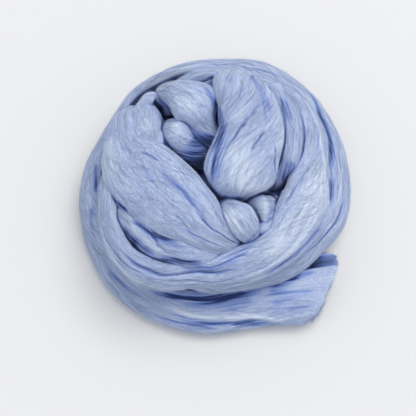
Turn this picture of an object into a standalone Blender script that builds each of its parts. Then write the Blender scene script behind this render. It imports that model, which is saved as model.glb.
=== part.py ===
"""A nest of combed wool roving, wound by hand from one long, soft, untwisted band of parallel fibres.

The nest is one solid: a heart of inner turns, an outer and an upper wrap that run round it, and the bands
that cross its crown and dive between each other. The last of the band leaves the nest at its left side,
lies along its front and ends at the right as a flattened tube with a slit along its inner side.

Metres, +Z up. The origin is on the floor under the middle of the nest, and -Y is the front.
"""

import math
from collections import namedtuple

import bmesh
import bpy
import numpy as np
from mathutils import Vector

MM = 0.001

# Driving sizes, in millimetres, with angles in degrees.
FACING_POINT_Z = -15.0  # the bands over the crown turn their flat face away from this point on the axis
BUNDLE_WIDTH = 6.0  # of the bundles of fibres that a band over the crown is furrowed into
BUNDLE_DEPTH = 1.5  # of the furrows between them
BUNDLE_DRIFT = 0.35  # how far the furrows wander sideways along a band, in bundle widths
WALL_SHARE = 0.3  # the loose end's wall, as a share of its height
SLIT_FROM = 20.0  # where the slit along the loose end starts, up from its inner side
SLIT_TO = 55.0
FLATTENED = 0.6  # how much of the loose end's round underside the floor presses flat
CLEARANCE = 0.5  # between the loose end and the nest
END_FROM = 0.6  # the share of the loose end's run where its cut end starts to lean and to tuft
END_SLANT = 0.58  # how far the cut end leans back towards the front, for each millimetre across
END_TUFT = 0.6  # how far the tufts of the cut end stand out
END_ROUND = 6.0  # how far the cut end's two corners are rounded back
CORNER_POWER = 6  # how sharply that rounding sets in towards the corners
TUFT_WAVES = (0.9, 0.37)  # radians for each millimetre across, of the two waves that make the tufts
FLOOR_BLOCK = (200.0, 200.0, 40.0)

# How square a cross-section is: 1 is an ellipse, and less is fuller at the corners.
BAND_FULLNESS = (0.85, 0.8)  # across and up
FURROW_FADE = 0.3  # furrows die out towards a band's edges
LOOSE_END_FULLNESS = 0.9

# How fine the meshes are.
CURVE_SAMPLES = 24  # between two rows of a table
STATION_STEP = 2.0  # along a band, between two cross-sections
RING_POINTS = 40  # round a band's cross-section
LUMP_SEGMENTS = 48
LUMP_RINGS = 24
LOOSE_END_STATIONS = 44
LOOSE_END_ARC_POINTS = 15
VOXEL = 1.1
NEST_TRIANGLES = 9600
REMESHED_TRIANGLES = 150000  # about what the voxel size gives

WOOL_COLOUR = (0.36, 0.44, 0.67, 1.0)

# A cross-section of a band over the crown: its crest point, its width and its thickness, in millimetres.
Section = namedtuple("Section", "x y z width thick")

# A cross-section of a band that runs round the nest: its place round the axis in degrees, the radius and
# height of its crest, its width and thickness, and how far its flat face looks up from level, in degrees.
Turn = namedtuple("Turn", "angle radius z width thick slope")

# A ball of inner turns: its middle and its half sizes, in millimetres.
Lump = namedtuple("Lump", "x y z half_x half_y half_z")

# A cross-section of the loose end on the floor: its middle, its width and its height.
Lying = namedtuple("Lying", "x y width height")

OUTER_WRAP = (
    Turn(228, 44, 18, 18, 14, 40),
    Turn(214, 55.5, 20, 22, 14, 32),
    Turn(200, 64, 17.5, 23, 12, 24),
    Turn(185, 66.3, 17, 23, 11, 18),
    Turn(170, 65.2, 17, 24, 10, 14),
    Turn(158, 63, 18.5, 27, 8.5, 10),
    Turn(140, 63, 20, 30, 6.5, 8),
    Turn(130, 65, 20, 30, 6.5, 8),
    Turn(118, 66, 20, 30, 7, 10),
    Turn(105, 67.5, 20, 31, 8.5, 12),
    Turn(90, 69.2, 19, 30, 12, 16),
    Turn(70, 73, 18, 28, 15, 26),
    Turn(50, 68.7, 20.5, 26, 17, 42),
    Turn(30, 64.3, 21.5, 26, 18, 48),
    Turn(10, 61.5, 21, 26, 18, 50),
    Turn(-10, 59.8, 21, 26, 18, 50),
    Turn(-27, 54.8, 21.5, 25, 17.5, 48),
    Turn(-45, 52.2, 22.5, 24, 17, 45),
    Turn(-65, 50, 26, 20, 14, 36),
    Turn(-90, 49, 26.5, 18, 13, 34),
    Turn(-105, 47, 25.5, 17, 12, 36),
    Turn(-125, 40, 24, 16, 11, 40),
)

UPPER_WRAP = (
    Turn(145, 44, 17, 14, 12, 45),
    Turn(160, 48, 23, 14, 12, 40),
    Turn(174, 53, 32, 15, 11, 33),
    Turn(190, 54.7, 37, 15, 9, 26),
    Turn(201, 57, 37.5, 15, 7.5, 24),
    Turn(208, 58.4, 37.8, 16, 8, 26),
    Turn(216, 59.8, 37.9, 17, 8.5, 26),
    Turn(224, 60.4, 37.9, 18, 8.5, 26),
    Turn(232, 60, 38.2, 18.5, 9.5, 28),
    Turn(241, 57.7, 38.2, 17.5, 9.5, 28),
    Turn(248, 55, 38.3, 17, 10, 28),
    Turn(259, 50.7, 38.8, 18, 12, 28),
    Turn(270, 50, 39, 18, 12, 28),
    Turn(284, 48.5, 39.8, 20.5, 13, 36),
    Turn(300, 48.7, 40.8, 20, 13, 42),
    Turn(315, 48.3, 41.7, 22, 13, 46),
    Turn(330, 47.3, 42.4, 26.5, 13, 50),
    Turn(344, 48, 42.5, 27, 13, 52),
    Turn(355, 47.7, 42.1, 23, 12, 52),
    Turn(368, 49.5, 41.2, 18, 11, 52),
    Turn(382, 53.5, 40.7, 16, 11, 50),
    Turn(396, 56, 39.8, 15, 10, 50),
    Turn(407, 58, 39.2, 14, 10, 48),
    Turn(416, 58, 38.5, 14, 10, 46),
    Turn(427, 56.5, 38.5, 15, 10, 45),
    Turn(443, 56.5, 38, 15, 10, 45),
    Turn(457, 56, 37, 15, 11, 45),
    Turn(467, 53.5, 34, 15, 12, 45),
    Turn(476, 49, 27, 14, 12, 45),
    Turn(485, 44.5, 19, 14, 12, 45),
    Turn(495, 42, 14, 14, 12, 45),
)

LUMPS = {
    "heart": Lump(-2, 6, 13, 55, 55.5, 15),
    "under_curl": Lump(-19, 28, 13, 24, 18, 15),
    "under_cross": Lump(-25, -25, 13, 24, 23, 13),
}

INNER_TURN = (
    Turn(0, 38, 32, 20, 18, 60),
    Turn(60, 38, 34, 20, 18, 60),
    Turn(120, 38, 32, 20, 18, 60),
    Turn(180, 42, 28, 20, 18, 60),
    Turn(225, 43, 28, 20, 18, 60),
    Turn(270, 40, 30, 20, 18, 60),
    Turn(315, 38, 30, 20, 18, 60),
)

# The bands over the crown, each from the end where it comes up to the end where it dives.
CROWN_BANDS = {
    "centre_fan": (
        Section(12, 55, 36, 19, 12),
        Section(11.5, 52, 46, 22.5, 14),
        Section(12.5, 45, 53, 25, 16),
        Section(17.5, 34.5, 57, 29, 17),
        Section(19, 19.5, 60, 30.5, 18),
        Section(16.5, 7, 61, 32.5, 18),
        Section(13.5, -2.5, 60.5, 35, 17),
        Section(11, -10, 56, 30.5, 15),
        Section(8.5, -14, 44, 20.5, 12),
    ),
    "cross_band": (
        Section(-45, 47.5, 14, 9.5, 10),
        Section(-46, 39.5, 29, 12, 12),
        Section(-47, 30, 40, 16, 13),
        Section(-47, 20, 46, 21, 14),
        Section(-45.5, 10.5, 49, 27.5, 16),
        Section(-40.5, 1, 51, 34.5, 17),
        Section(-31.5, -8.5, 54, 36.5, 18),
        Section(-21.5, -18, 56, 35.5, 18),
        Section(-11, -26, 56, 29.5, 17),
        Section(-1.5, -33, 53, 21, 14),
        Section(7.5, -35.5, 46, 14, 12),
        Section(14, -35, 36, 9.5, 10),
    ),
    "under_band": (
        Section(-51, -9, 34, 8.5, 8),
        Section(-45, -19.5, 40, 12, 9),
        Section(-37, -28.5, 45, 14.5, 10),
        Section(-28.5, -35.5, 47, 14.5, 10),
        Section(-19, -39, 48, 13.5, 10),
        Section(-11, -41, 48, 12.5, 10),
        Section(-1.5, -39.5, 46, 11, 10),
        Section(7.5, -35.5, 40, 8.5, 9),
        Section(14, -31, 30, 6.5, 8),
    ),
    "crown_curl": (
        Section(-30.5, 48, 31, 5.5, 8),
        Section(-27, 44.5, 42, 8, 10),
        Section(-23, 43, 47, 12.5, 13),
        Section(-17.5, 41, 51, 19, 15),
        Section(-10, 36.5, 54, 25, 16),
        Section(-3.5, 29.5, 52, 22, 15),
        Section(-0.5, 24, 42, 14.5, 12),
        Section(0.5, 22.5, 26, 9, 10),
    ),
    "shoulder": (
        Section(-39, 45, 20, 11, 10),
        Section(-38, 38, 36, 14, 12),
        Section(-37, 32, 43, 16.5, 14),
        Section(-36.5, 25.5, 46, 18, 15),
        Section(-35, 19, 47, 16, 15),
        Section(-33, 14.5, 43, 13.5, 13),
        Section(-31.5, 13.5, 32, 10, 11),
    ),
    "hollow_lump": (
        Section(-26.5, 28.5, 33, 9, 9),
        Section(-22, 24.5, 43, 14.5, 12),
        Section(-16.5, 20.5, 48, 18.5, 14),
        Section(-10, 17.5, 44, 17, 13),
        Section(-5, 17.5, 30, 13, 11),
    ),
    "knuckle": (
        Section(2, -10, 43, 8.5, 9),
        Section(6.5, -18.5, 53, 13, 12),
        Section(11.5, -24.5, 55, 15, 14),
        Section(16, -30, 50, 13.5, 12),
        Section(19, -32, 39, 9.5, 9),
    ),
    "right_peep": (
        Section(15, -17, 36, 10.5, 10),
        Section(20, -19.5, 47, 16.5, 13),
        Section(25.5, -19, 47, 16.5, 13),
        Section(32, -13.5, 37, 11.5, 10),
    ),
    "inner_right": (
        Section(30.5, 47.5, 41, 8, 9),
        Section(35.5, 33, 47, 10.5, 10),
        Section(38, 19.5, 49, 11.5, 11),
        Section(37, 7.5, 48, 10.5, 11),
        Section(34, -1, 42, 9.5, 10),
        Section(31.5, -5, 31, 7.5, 8),
    ),
}

LOOSE_END = (
    Lying(-57, -3, 11, 10),
    Lying(-59, -15.5, 14, 11),
    Lying(-53, -28, 17, 12),
    Lying(-44.5, -39.5, 20, 13),
    Lying(-32.5, -48, 23, 13),
    Lying(-19, -52.5, 26, 13),
    Lying(-4.5, -54, 29, 13),
    Lying(11.5, -51, 31, 13),
    Lying(30, -48.5, 31.5, 14),
    Lying(56, -45.7, 34.5, 15),
)


def clear_scene():
    for obj in list(bpy.data.objects):
        bpy.data.objects.remove(obj)


def new_collection(name):
    collection = bpy.data.collections.new(name)
    bpy.context.scene.collection.children.link(collection)
    return collection


def wool_material():
    material = bpy.data.materials.new("wool")
    material.use_nodes = True
    shader = material.node_tree.nodes["Principled BSDF"]
    shader.inputs["Base Color"].default_value = WOOL_COLOUR
    shader.inputs["Roughness"].default_value = 0.9
    shader.inputs["Metallic"].default_value = 0.0
    return material


def smooth_through(rows, closed):
    """Stations STATION_STEP apart on a Catmull-Rom curve through every column of the rows."""
    rows = np.array(rows, float)
    if closed:
        padded = np.vstack([rows[-1:], rows, rows[:2]])
    else:
        first = 2 * rows[0] - rows[1]
        last = 2 * rows[-1] - rows[-2]
        padded = np.vstack([first, rows, last])
    fine = []
    for p0, p1, p2, p3 in zip(padded, padded[1:], padded[2:], padded[3:]):
        for t in np.linspace(0, 1, CURVE_SAMPLES, endpoint=False):
            fine.append(
                p1
                + 0.5 * t * (p2 - p0)
                + t * t * (p0 - 2.5 * p1 + 2 * p2 - 0.5 * p3)
                + t * t * t * (1.5 * (p1 - p2) + 0.5 * (p3 - p0))
            )
    fine.append(padded[-2])
    fine = np.array(fine)
    along = np.concatenate([[0], np.cumsum(np.linalg.norm(np.diff(fine[:, :3], axis=0), axis=1))])
    count = int(along[-1] / STATION_STEP) + 1
    at = np.linspace(0, along[-1], count, endpoint=not closed)
    return np.stack([np.interp(at, along, column) for column in fine.T], axis=1)


def unit(vectors):
    return vectors / np.linalg.norm(vectors, axis=-1, keepdims=True)


def run_directions(points, closed):
    if closed:
        return unit(np.roll(points, -1, axis=0) - np.roll(points, 1, axis=0))
    return unit(np.gradient(points, axis=0))


def section_outline(width, thick, bundles, drift):
    """Across and up from a band's middle: a flat oval whose upper face is furrowed into round bundles."""
    turn = np.linspace(0, 2 * math.pi, RING_POINTS, endpoint=False)
    cos, sin = np.cos(turn), np.sin(turn)
    across = np.sign(cos) * np.abs(cos) ** BAND_FULLNESS[0]
    up = np.sign(sin) * np.abs(sin) ** BAND_FULLNESS[1]
    place = (across * 0.5 + 0.5) * bundles + drift
    bulge = np.sqrt(1 - (2 * (place % 1) - 1) ** 2)
    furrow = np.where(sin > 0, BUNDLE_DEPTH * (bulge - 1) * np.abs(sin) ** FURROW_FADE, 0)
    return across * width / 2, up * thick / 2 + furrow


def skin_over(shape, rings, closed):
    """Faces between neighbouring rings of vertices, and over both ends of an open run."""
    pairs = list(zip(rings, rings[1:]))
    if closed:
        pairs.append((rings[-1], rings[0]))
    else:
        shape.faces.new(rings[0])
        shape.faces.new(rings[-1][::-1])
    for before, after in pairs:
        for i, vertex in enumerate(before):
            beside = (i + 1) % len(before)
            shape.faces.new((vertex, after[i], after[beside], before[beside]))
    bmesh.ops.recalc_face_normals(shape, faces=shape.faces)


def finished(name, shape):
    """The bmesh as a mesh of that name."""
    mesh = bpy.data.meshes.new(name)
    shape.to_mesh(mesh)
    shape.free()
    return mesh


def band_mesh(name, stations, faces_out, bundles, closed):
    """Lofts a band. Its stations hold crest x, y, z, width and thickness; faces_out turns its flat face."""
    crest = stations[:, :3]
    run = run_directions(crest, closed)
    up = unit(faces_out - run * (faces_out * run).sum(1, keepdims=True))
    side = np.cross(run, up)
    shape = bmesh.new()
    rings = []
    count = len(stations)
    for i, (width, thick) in enumerate(stations[:, 3:5]):
        drift = BUNDLE_DRIFT * math.sin(4 * math.pi * i / count + bundles)
        across, over = section_outline(width, thick, bundles, drift)
        middle = crest[i] - up[i] * thick / 2
        points = middle + across[:, None] * side[i] + over[:, None] * up[i]
        rings.append([shape.verts.new(Vector(p) * MM) for p in points])
    skin_over(shape, rings, closed)
    return finished(name, shape)


def wrap_mesh(name, turns, bundles, closed):
    """A band that runs round the nest's axis."""
    rows = []
    for turn in turns:
        angle = math.radians(turn.angle)
        rows.append(
            (
                turn.radius * math.cos(angle),
                turn.radius * math.sin(angle),
                turn.z,
                turn.width,
                turn.thick,
                turn.slope,
            )
        )
    stations = smooth_through(rows, closed)
    slope = np.radians(stations[:, 5])
    away = unit(stations[:, :2])
    faces_out = np.column_stack([away * np.cos(slope)[:, None], np.sin(slope)])
    return band_mesh(name, stations, faces_out, bundles, closed)


def crown_mesh(name, sections, bundles):
    """A band over the crown, its flat face turned away from the facing point."""
    stations = smooth_through(sections, closed=False)
    faces_out = unit(stations[:, :3] - np.array([0, 0, FACING_POINT_Z]))
    return band_mesh(name, stations, faces_out, bundles, closed=False)


def lump_mesh(name, lump):
    """Inner turns that only fill the nest, as one flattened ball."""
    shape = bmesh.new()
    bmesh.ops.create_uvsphere(shape, u_segments=LUMP_SEGMENTS, v_segments=LUMP_RINGS, radius=1)
    bmesh.ops.scale(shape, vec=Vector((lump.half_x, lump.half_y, lump.half_z)) * MM, verts=shape.verts)
    bmesh.ops.translate(shape, vec=Vector((lump.x, lump.y, lump.z)) * MM, verts=shape.verts)
    return finished(name, shape)


def lying_stations():
    """The loose end's cross-sections: x, y, 0, width and height."""
    rows = [(r.x, r.y, 0, r.width, r.height) for r in LOOSE_END]
    stations = smooth_through(rows, closed=False)
    keep = np.linspace(0, len(stations) - 1, LOOSE_END_STATIONS)
    return np.stack([np.interp(keep, range(len(stations)), column) for column in stations.T], axis=1)


def oval(width, height, degrees):
    turn = np.radians(degrees)
    cos, sin = np.cos(turn), np.sin(turn)
    across = width / 2 * np.sign(cos) * np.abs(cos) ** LOOSE_END_FULLNESS
    up = height / 2 * np.sign(sin) * np.abs(sin) ** LOOSE_END_FULLNESS
    return np.stack([across, up], axis=1)


def loft_on_floor(name, outlines, stations, extra_length):
    """Lofts outlines of (inwards, up) points along the floor, with a slanted and tufted far end."""
    middle = stations[:, :3]
    run = run_directions(middle, closed=False)
    inward = np.cross(np.array([0, 0, 1.0]), run)
    shape = bmesh.new()
    rings = []
    last = len(stations) - 1
    for i, outline in enumerate(outlines):
        share = max(0.0, (i / last - END_FROM) / (1 - END_FROM))
        start = -extra_length if i == 0 else 0
        end = extra_length if i == last else 0
        across = outline[:, 0]
        tuft = END_TUFT * np.sin(across * TUFT_WAVES[0]) * np.sin(across * TUFT_WAVES[1] + 1)
        rounding = END_ROUND * np.abs(2 * across / stations[i, 3]) ** CORNER_POWER
        forward = start + end + share**2 * (END_SLANT * across + tuft - rounding)
        points = middle[i] + across[:, None] * inward[i] + forward[:, None] * run[i]
        points[:, 2] = outline[:, 1]
        rings.append([shape.verts.new(Vector(p) * MM) for p in points])
    skin_over(shape, rings, closed=False)
    bmesh.ops.triangulate(shape, faces=[f for f in shape.faces if len(f.verts) > 4])
    return finished(name, shape)


def loose_end_mesh():
    """A flattened tube with a slit along its inner side, lying on the floor."""
    stations = lying_stations()
    degrees = np.linspace(SLIT_TO, 360 + SLIT_FROM, LOOSE_END_ARC_POINTS)
    outlines = []
    for width, height in stations[:, 3:]:
        wall = WALL_SHARE * height
        outer = oval(width, height, degrees)
        inner = oval(width - 2 * wall, height - 2 * wall, degrees[::-1])
        outline = np.vstack([outer, inner])
        outline[:, 1] = np.maximum(outline[:, 1] + height / 2 - FLATTENED, 0)
        outlines.append(outline)
    return loft_on_floor("loose_end", outlines, stations, extra_length=0)


def loose_end_room_mesh():
    """The whole space that the loose end takes, a little wider all round, to be cut from the nest."""
    stations = lying_stations()
    degrees = np.linspace(0, 360, 2 * LOOSE_END_ARC_POINTS, endpoint=False)
    outlines = []
    for width, height in stations[:, 3:]:
        outline = oval(width + 2 * CLEARANCE, height + 2 * CLEARANCE, degrees)
        outline[:, 1] += height / 2 - FLATTENED
        outlines.append(outline)
    return loft_on_floor("loose_end_room", outlines, stations, extra_length=CLEARANCE)


def place(name, mesh, collection, material=None):
    obj = bpy.data.objects.new(name, mesh)
    collection.objects.link(obj)
    if material:
        mesh.materials.append(material)
    mesh.shade_smooth()
    return obj


def make_cutter(name, mesh, collection):
    cutter = place(name, mesh, collection)
    cutter.hide_render = True
    cutter.display_type = "WIRE"
    return cutter


def floor_cutter(collection):
    """A block under the floor, which leaves flat spots where the nest rests."""
    shape = bmesh.new()
    bmesh.ops.create_cube(shape, size=1)
    bmesh.ops.scale(shape, vec=Vector(FLOOR_BLOCK) * MM, verts=shape.verts)
    bmesh.ops.translate(shape, vec=(0, 0, -FLOOR_BLOCK[2] / 2 * MM), verts=shape.verts)
    return make_cutter("below_floor", finished("below_floor", shape), collection)


def joined(meshes):
    """All the bands and the heart in one mesh, still overlapping."""
    shape = bmesh.new()
    for mesh in meshes:
        shape.from_mesh(mesh)
        bpy.data.meshes.remove(mesh)
    return finished("wound_nest", shape)


def cut(obj, cutter):
    modifier = obj.modifiers.new("cut_" + cutter.name, "BOOLEAN")
    modifier.operation = "DIFFERENCE"
    modifier.object = cutter


def build_nest(parts, cutters, material):
    meshes = [
        wrap_mesh("outer_wrap", OUTER_WRAP, bundles=4, closed=False),
        wrap_mesh("upper_wrap", UPPER_WRAP, bundles=5, closed=True),
        wrap_mesh("inner_turn", INNER_TURN, bundles=3, closed=True),
    ]
    for name, lump in LUMPS.items():
        meshes.append(lump_mesh(name, lump))
    for name, sections in CROWN_BANDS.items():
        widest = max(section.width for section in sections)
        meshes.append(crown_mesh(name, sections, bundles=max(2, round(widest / BUNDLE_WIDTH))))
    nest = place("wound_nest", joined(meshes), parts, material)
    fuse = nest.modifiers.new("fuse", "REMESH")
    fuse.mode = "VOXEL"
    fuse.voxel_size = VOXEL * MM
    fuse.use_smooth_shade = True
    fewer = nest.modifiers.new("fewer_faces", "DECIMATE")
    fewer.ratio = NEST_TRIANGLES / REMESHED_TRIANGLES
    cut(nest, make_cutter("loose_end_room", loose_end_room_mesh(), cutters))
    cut(nest, floor_cutter(cutters))


def main():
    clear_scene()
    parts = new_collection("roving_nest")
    cutters = new_collection("cutters")
    material = wool_material()
    build_nest(parts, cutters, material)
    place("loose_end", loose_end_mesh(), parts, material)


main()
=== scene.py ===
# %% [markdown]
# # A nest of combed wool roving
#
# Roving, or combed top, is wool that has been carded and combed but not yet spun: one long, soft band
# about as wide as two fingers, whose fibres all lie the same way. A maker winds a length of it by hand
# into a nest, so that it can be sold, dyed or carried without a label or a tie.
#
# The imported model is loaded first. It is the fixed frame: its two solids have the true outer form and the
# real size, and every piece below is built in their place, in the same metres.

# %% The frame
import math
from collections import namedtuple

import bmesh
import bpy
import numpy as np
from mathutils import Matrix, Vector
from mathutils.bvhtree import BVHTree


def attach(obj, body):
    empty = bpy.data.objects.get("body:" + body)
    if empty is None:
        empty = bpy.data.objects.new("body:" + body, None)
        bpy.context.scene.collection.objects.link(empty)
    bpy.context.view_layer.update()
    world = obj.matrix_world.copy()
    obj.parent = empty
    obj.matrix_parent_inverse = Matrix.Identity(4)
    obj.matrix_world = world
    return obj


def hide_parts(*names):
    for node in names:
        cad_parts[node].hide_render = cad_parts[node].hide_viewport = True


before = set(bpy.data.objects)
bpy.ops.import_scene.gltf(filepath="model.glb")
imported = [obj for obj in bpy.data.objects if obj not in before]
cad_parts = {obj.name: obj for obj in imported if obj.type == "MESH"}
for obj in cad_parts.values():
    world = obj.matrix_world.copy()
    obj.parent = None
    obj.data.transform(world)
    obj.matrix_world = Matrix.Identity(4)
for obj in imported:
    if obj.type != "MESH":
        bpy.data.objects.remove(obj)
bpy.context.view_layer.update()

MM = 0.001
NEST_NODE = "wound_nest"
LOOSE_NODE = "loose_end"

# %% [markdown]
# ## The view
#
# The nest lies on a white table and is seen from above and a little from the front, as one looks at a
# thing in one's own lap. The camera is placed by its distance and its height angle over the middle of the
# nest. A long lens keeps the round form from bulging. The small shift moves the picture without turning
# the camera, so that the nest sits a little above the middle of the frame.

# %% The camera
AIM = Vector((0, 0, 30 * MM))
DISTANCE = 471 * MM
HEIGHT_ANGLE = math.radians(72)
LENS = 85
SENSOR = 36
PICTURE = 416  # pixels a side
SHIFT = (-7 / PICTURE, -25 / PICTURE)  # as shares of the picture's width


def add_camera():
    camera = bpy.data.objects.new("camera", bpy.data.cameras.new("camera"))
    bpy.context.scene.collection.objects.link(camera)
    away = Vector((0, -math.cos(HEIGHT_ANGLE), math.sin(HEIGHT_ANGLE)))
    camera.location = AIM + DISTANCE * away
    camera.rotation_euler = away.to_track_quat("Z", "Y").to_euler()
    camera.data.lens = LENS
    camera.data.sensor_width = SENSOR
    camera.data.shift_x, camera.data.shift_y = SHIFT
    bpy.context.scene.camera = camera
    return camera


print("camera at", [round(c, 3) for c in add_camera().location])

# %% [markdown]
# ## The table and the light
#
# A plain white sheet carries the nest. The light is a large soft window high above, a little to the right
# and behind, and a bright room all round: wool then shows its bundles by soft shading, and only the deep
# gaps go dark.
# The picture is developed with the Standard view, so that white stays white.

# %% The table and the lights
TABLE_SIZE = 3.0
TABLE_COLOUR = (0.766, 0.752, 0.736, 1)
WINDOW_PLACE = Vector((1.25, 1.35, 3.90))  # m; it faces the nest
WINDOW_SIZE = 2.8
WINDOW_POWER = 98
WINDOW_COLOUR = (1, 0.985, 0.955)
ROOM_LIGHT = 0.77
ROOM_COLOUR = (0.92, 0.965, 1.04, 1)


def add_table():
    shape = bmesh.new()
    bmesh.ops.create_grid(shape, x_segments=1, y_segments=1, size=TABLE_SIZE / 2)
    mesh = bpy.data.meshes.new("table")
    shape.to_mesh(mesh)
    shape.free()
    table = bpy.data.objects.new("table", mesh)
    bpy.context.scene.collection.objects.link(table)
    paint = bpy.data.materials.new("white_table")
    paint.use_nodes = True
    shader = paint.node_tree.nodes["Principled BSDF"]
    shader.inputs["Base Color"].default_value = TABLE_COLOUR
    shader.inputs["Roughness"].default_value = 0.9
    mesh.materials.append(paint)


def add_lights():
    window = bpy.data.objects.new("window", bpy.data.lights.new("window", "AREA"))
    bpy.context.scene.collection.objects.link(window)
    window.data.energy = WINDOW_POWER
    window.data.size = WINDOW_SIZE
    window.data.color = WINDOW_COLOUR
    window.location = WINDOW_PLACE
    window.rotation_euler = WINDOW_PLACE.to_track_quat("Z", "Y").to_euler()
    room = bpy.data.worlds.new("room")
    room.use_nodes = True
    background = room.node_tree.nodes["Background"]
    background.inputs["Color"].default_value = ROOM_COLOUR
    background.inputs["Strength"].default_value = ROOM_LIGHT
    bpy.context.scene.world = room


add_table()
add_lights()
bpy.context.scene.view_settings.view_transform = "Standard"
print("a window of", WINDOW_SIZE, "m and a room of strength", ROOM_LIGHT)

# %% [markdown]
# ## The run of each band
#
# All that shows is one band, wound round and over itself. Each visible stretch of it is described by a
# short table, in millimetres: where the crest of the band runs, how wide it is there and how thick. The
# wraps that go round the nest are easier to read as an angle, a radius and a height; those over the crown
# as x, y and z. One could draw curves and bevel them, but a bevel has one outline all along, and wool is
# wide where it is free and narrow where it dives under its neighbour.

# %% The tables
Turn = namedtuple("Turn", "angle radius z width thick slope twist", defaults=[0])
Section = namedtuple("Section", "x y z width thick twist", defaults=[0])
Lump = namedtuple("Lump", "x y z half_x half_y half_z")
Lying = namedtuple("Lying", "x y width height")

OUTER_WRAP = (
    Turn(228, 44, 18, 18, 14, 40),
    Turn(214, 55.5, 20, 22, 14, 32),
    Turn(200, 64, 17.5, 23, 12, 24),
    Turn(185, 66.3, 17, 23, 11, 18),
    Turn(170, 65.2, 17, 24, 10, 14),
    Turn(158, 63, 18.5, 27, 8.5, 10),
    Turn(140, 63, 20, 30, 6.5, 8),
    Turn(130, 65, 20, 30, 6.5, 8),
    Turn(118, 66, 20, 30, 7, 10),
    Turn(105, 67.5, 20, 31, 8.5, 12),
    Turn(90, 69.2, 19, 30, 12, 16),
    Turn(70, 73, 18, 28, 15, 26),
    Turn(50, 68.7, 20.5, 26, 17, 42),
    Turn(30, 64.3, 21.5, 26, 18, 48),
    Turn(10, 61.5, 21, 26, 18, 50),
    Turn(-10, 59.8, 21, 26, 18, 50),
    Turn(-27, 54.8, 21.5, 25, 17.5, 48),
    Turn(-45, 52.2, 22.5, 24, 17, 45),
    Turn(-65, 50, 26, 20, 14, 36),
    Turn(-90, 49, 26.5, 18, 13, 34),
    Turn(-105, 47, 25.5, 17, 12, 36),
    Turn(-125, 40, 24, 16, 11, 40),
)

UPPER_WRAP = (
    Turn(145, 44, 17, 14, 12, 45),
    Turn(160, 48, 23, 14, 12, 40),
    Turn(174, 53, 32, 15, 11, 33),
    Turn(190, 54.7, 37, 15, 9, 26),
    Turn(201, 57, 37.5, 15, 7.5, 24),
    Turn(208, 58.4, 37.8, 16, 8, 26),
    Turn(216, 59.8, 37.9, 17, 8.5, 26),
    Turn(224, 60.4, 37.9, 18, 8.5, 26),
    Turn(232, 60, 38.2, 18.5, 9.5, 28),
    Turn(241, 57.7, 38.2, 17.5, 9.5, 28),
    Turn(248, 55, 38.3, 17, 10, 28),
    Turn(259, 50.7, 38.8, 18, 12, 28),
    Turn(270, 50, 39, 18, 12, 28),
    Turn(284, 48.5, 39.8, 20.5, 13, 36),
    Turn(300, 48.7, 40.8, 20, 13, 42, 6),
    Turn(315, 48.3, 41.7, 22, 13, 46, 14),
    Turn(330, 47.3, 42.4, 26.5, 13, 50, 24),
    Turn(344, 48, 42.5, 27, 13, 52, 26),
    Turn(355, 47.7, 42.1, 23, 12, 52, 26),
    Turn(368, 49.5, 41.2, 18, 11, 52, 22),
    Turn(382, 53.5, 40.7, 16, 11, 50, 12),
    Turn(396, 56, 39.8, 15, 10, 50, 4),
    Turn(407, 58, 39.2, 14, 10, 48),
    Turn(416, 58, 38.5, 14, 10, 46),
    Turn(427, 56.5, 38.5, 15, 10, 45),
    Turn(443, 56.5, 38, 15, 10, 45),
    Turn(457, 56, 37, 15, 11, 45),
    Turn(467, 53.5, 34, 15, 12, 45),
    Turn(476, 49, 27, 14, 12, 45),
    Turn(485, 44.5, 19, 14, 12, 45),
    Turn(495, 42, 14, 14, 12, 45),
)

LUMPS = {
    "heart": Lump(-2, 6, 13, 55, 55.5, 15),
    "under_curl": Lump(-19, 28, 13, 24, 18, 15),
    "under_cross": Lump(-25, -25, 13, 24, 23, 13),
}

INNER_TURN = (
    Turn(0, 38, 32, 20, 18, 60),
    Turn(60, 38, 34, 20, 18, 60),
    Turn(120, 38, 32, 20, 18, 60),
    Turn(180, 42, 28, 20, 18, 60),
    Turn(225, 43, 28, 20, 18, 60),
    Turn(270, 40, 30, 20, 18, 60),
    Turn(315, 38, 30, 20, 18, 60),
)

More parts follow.
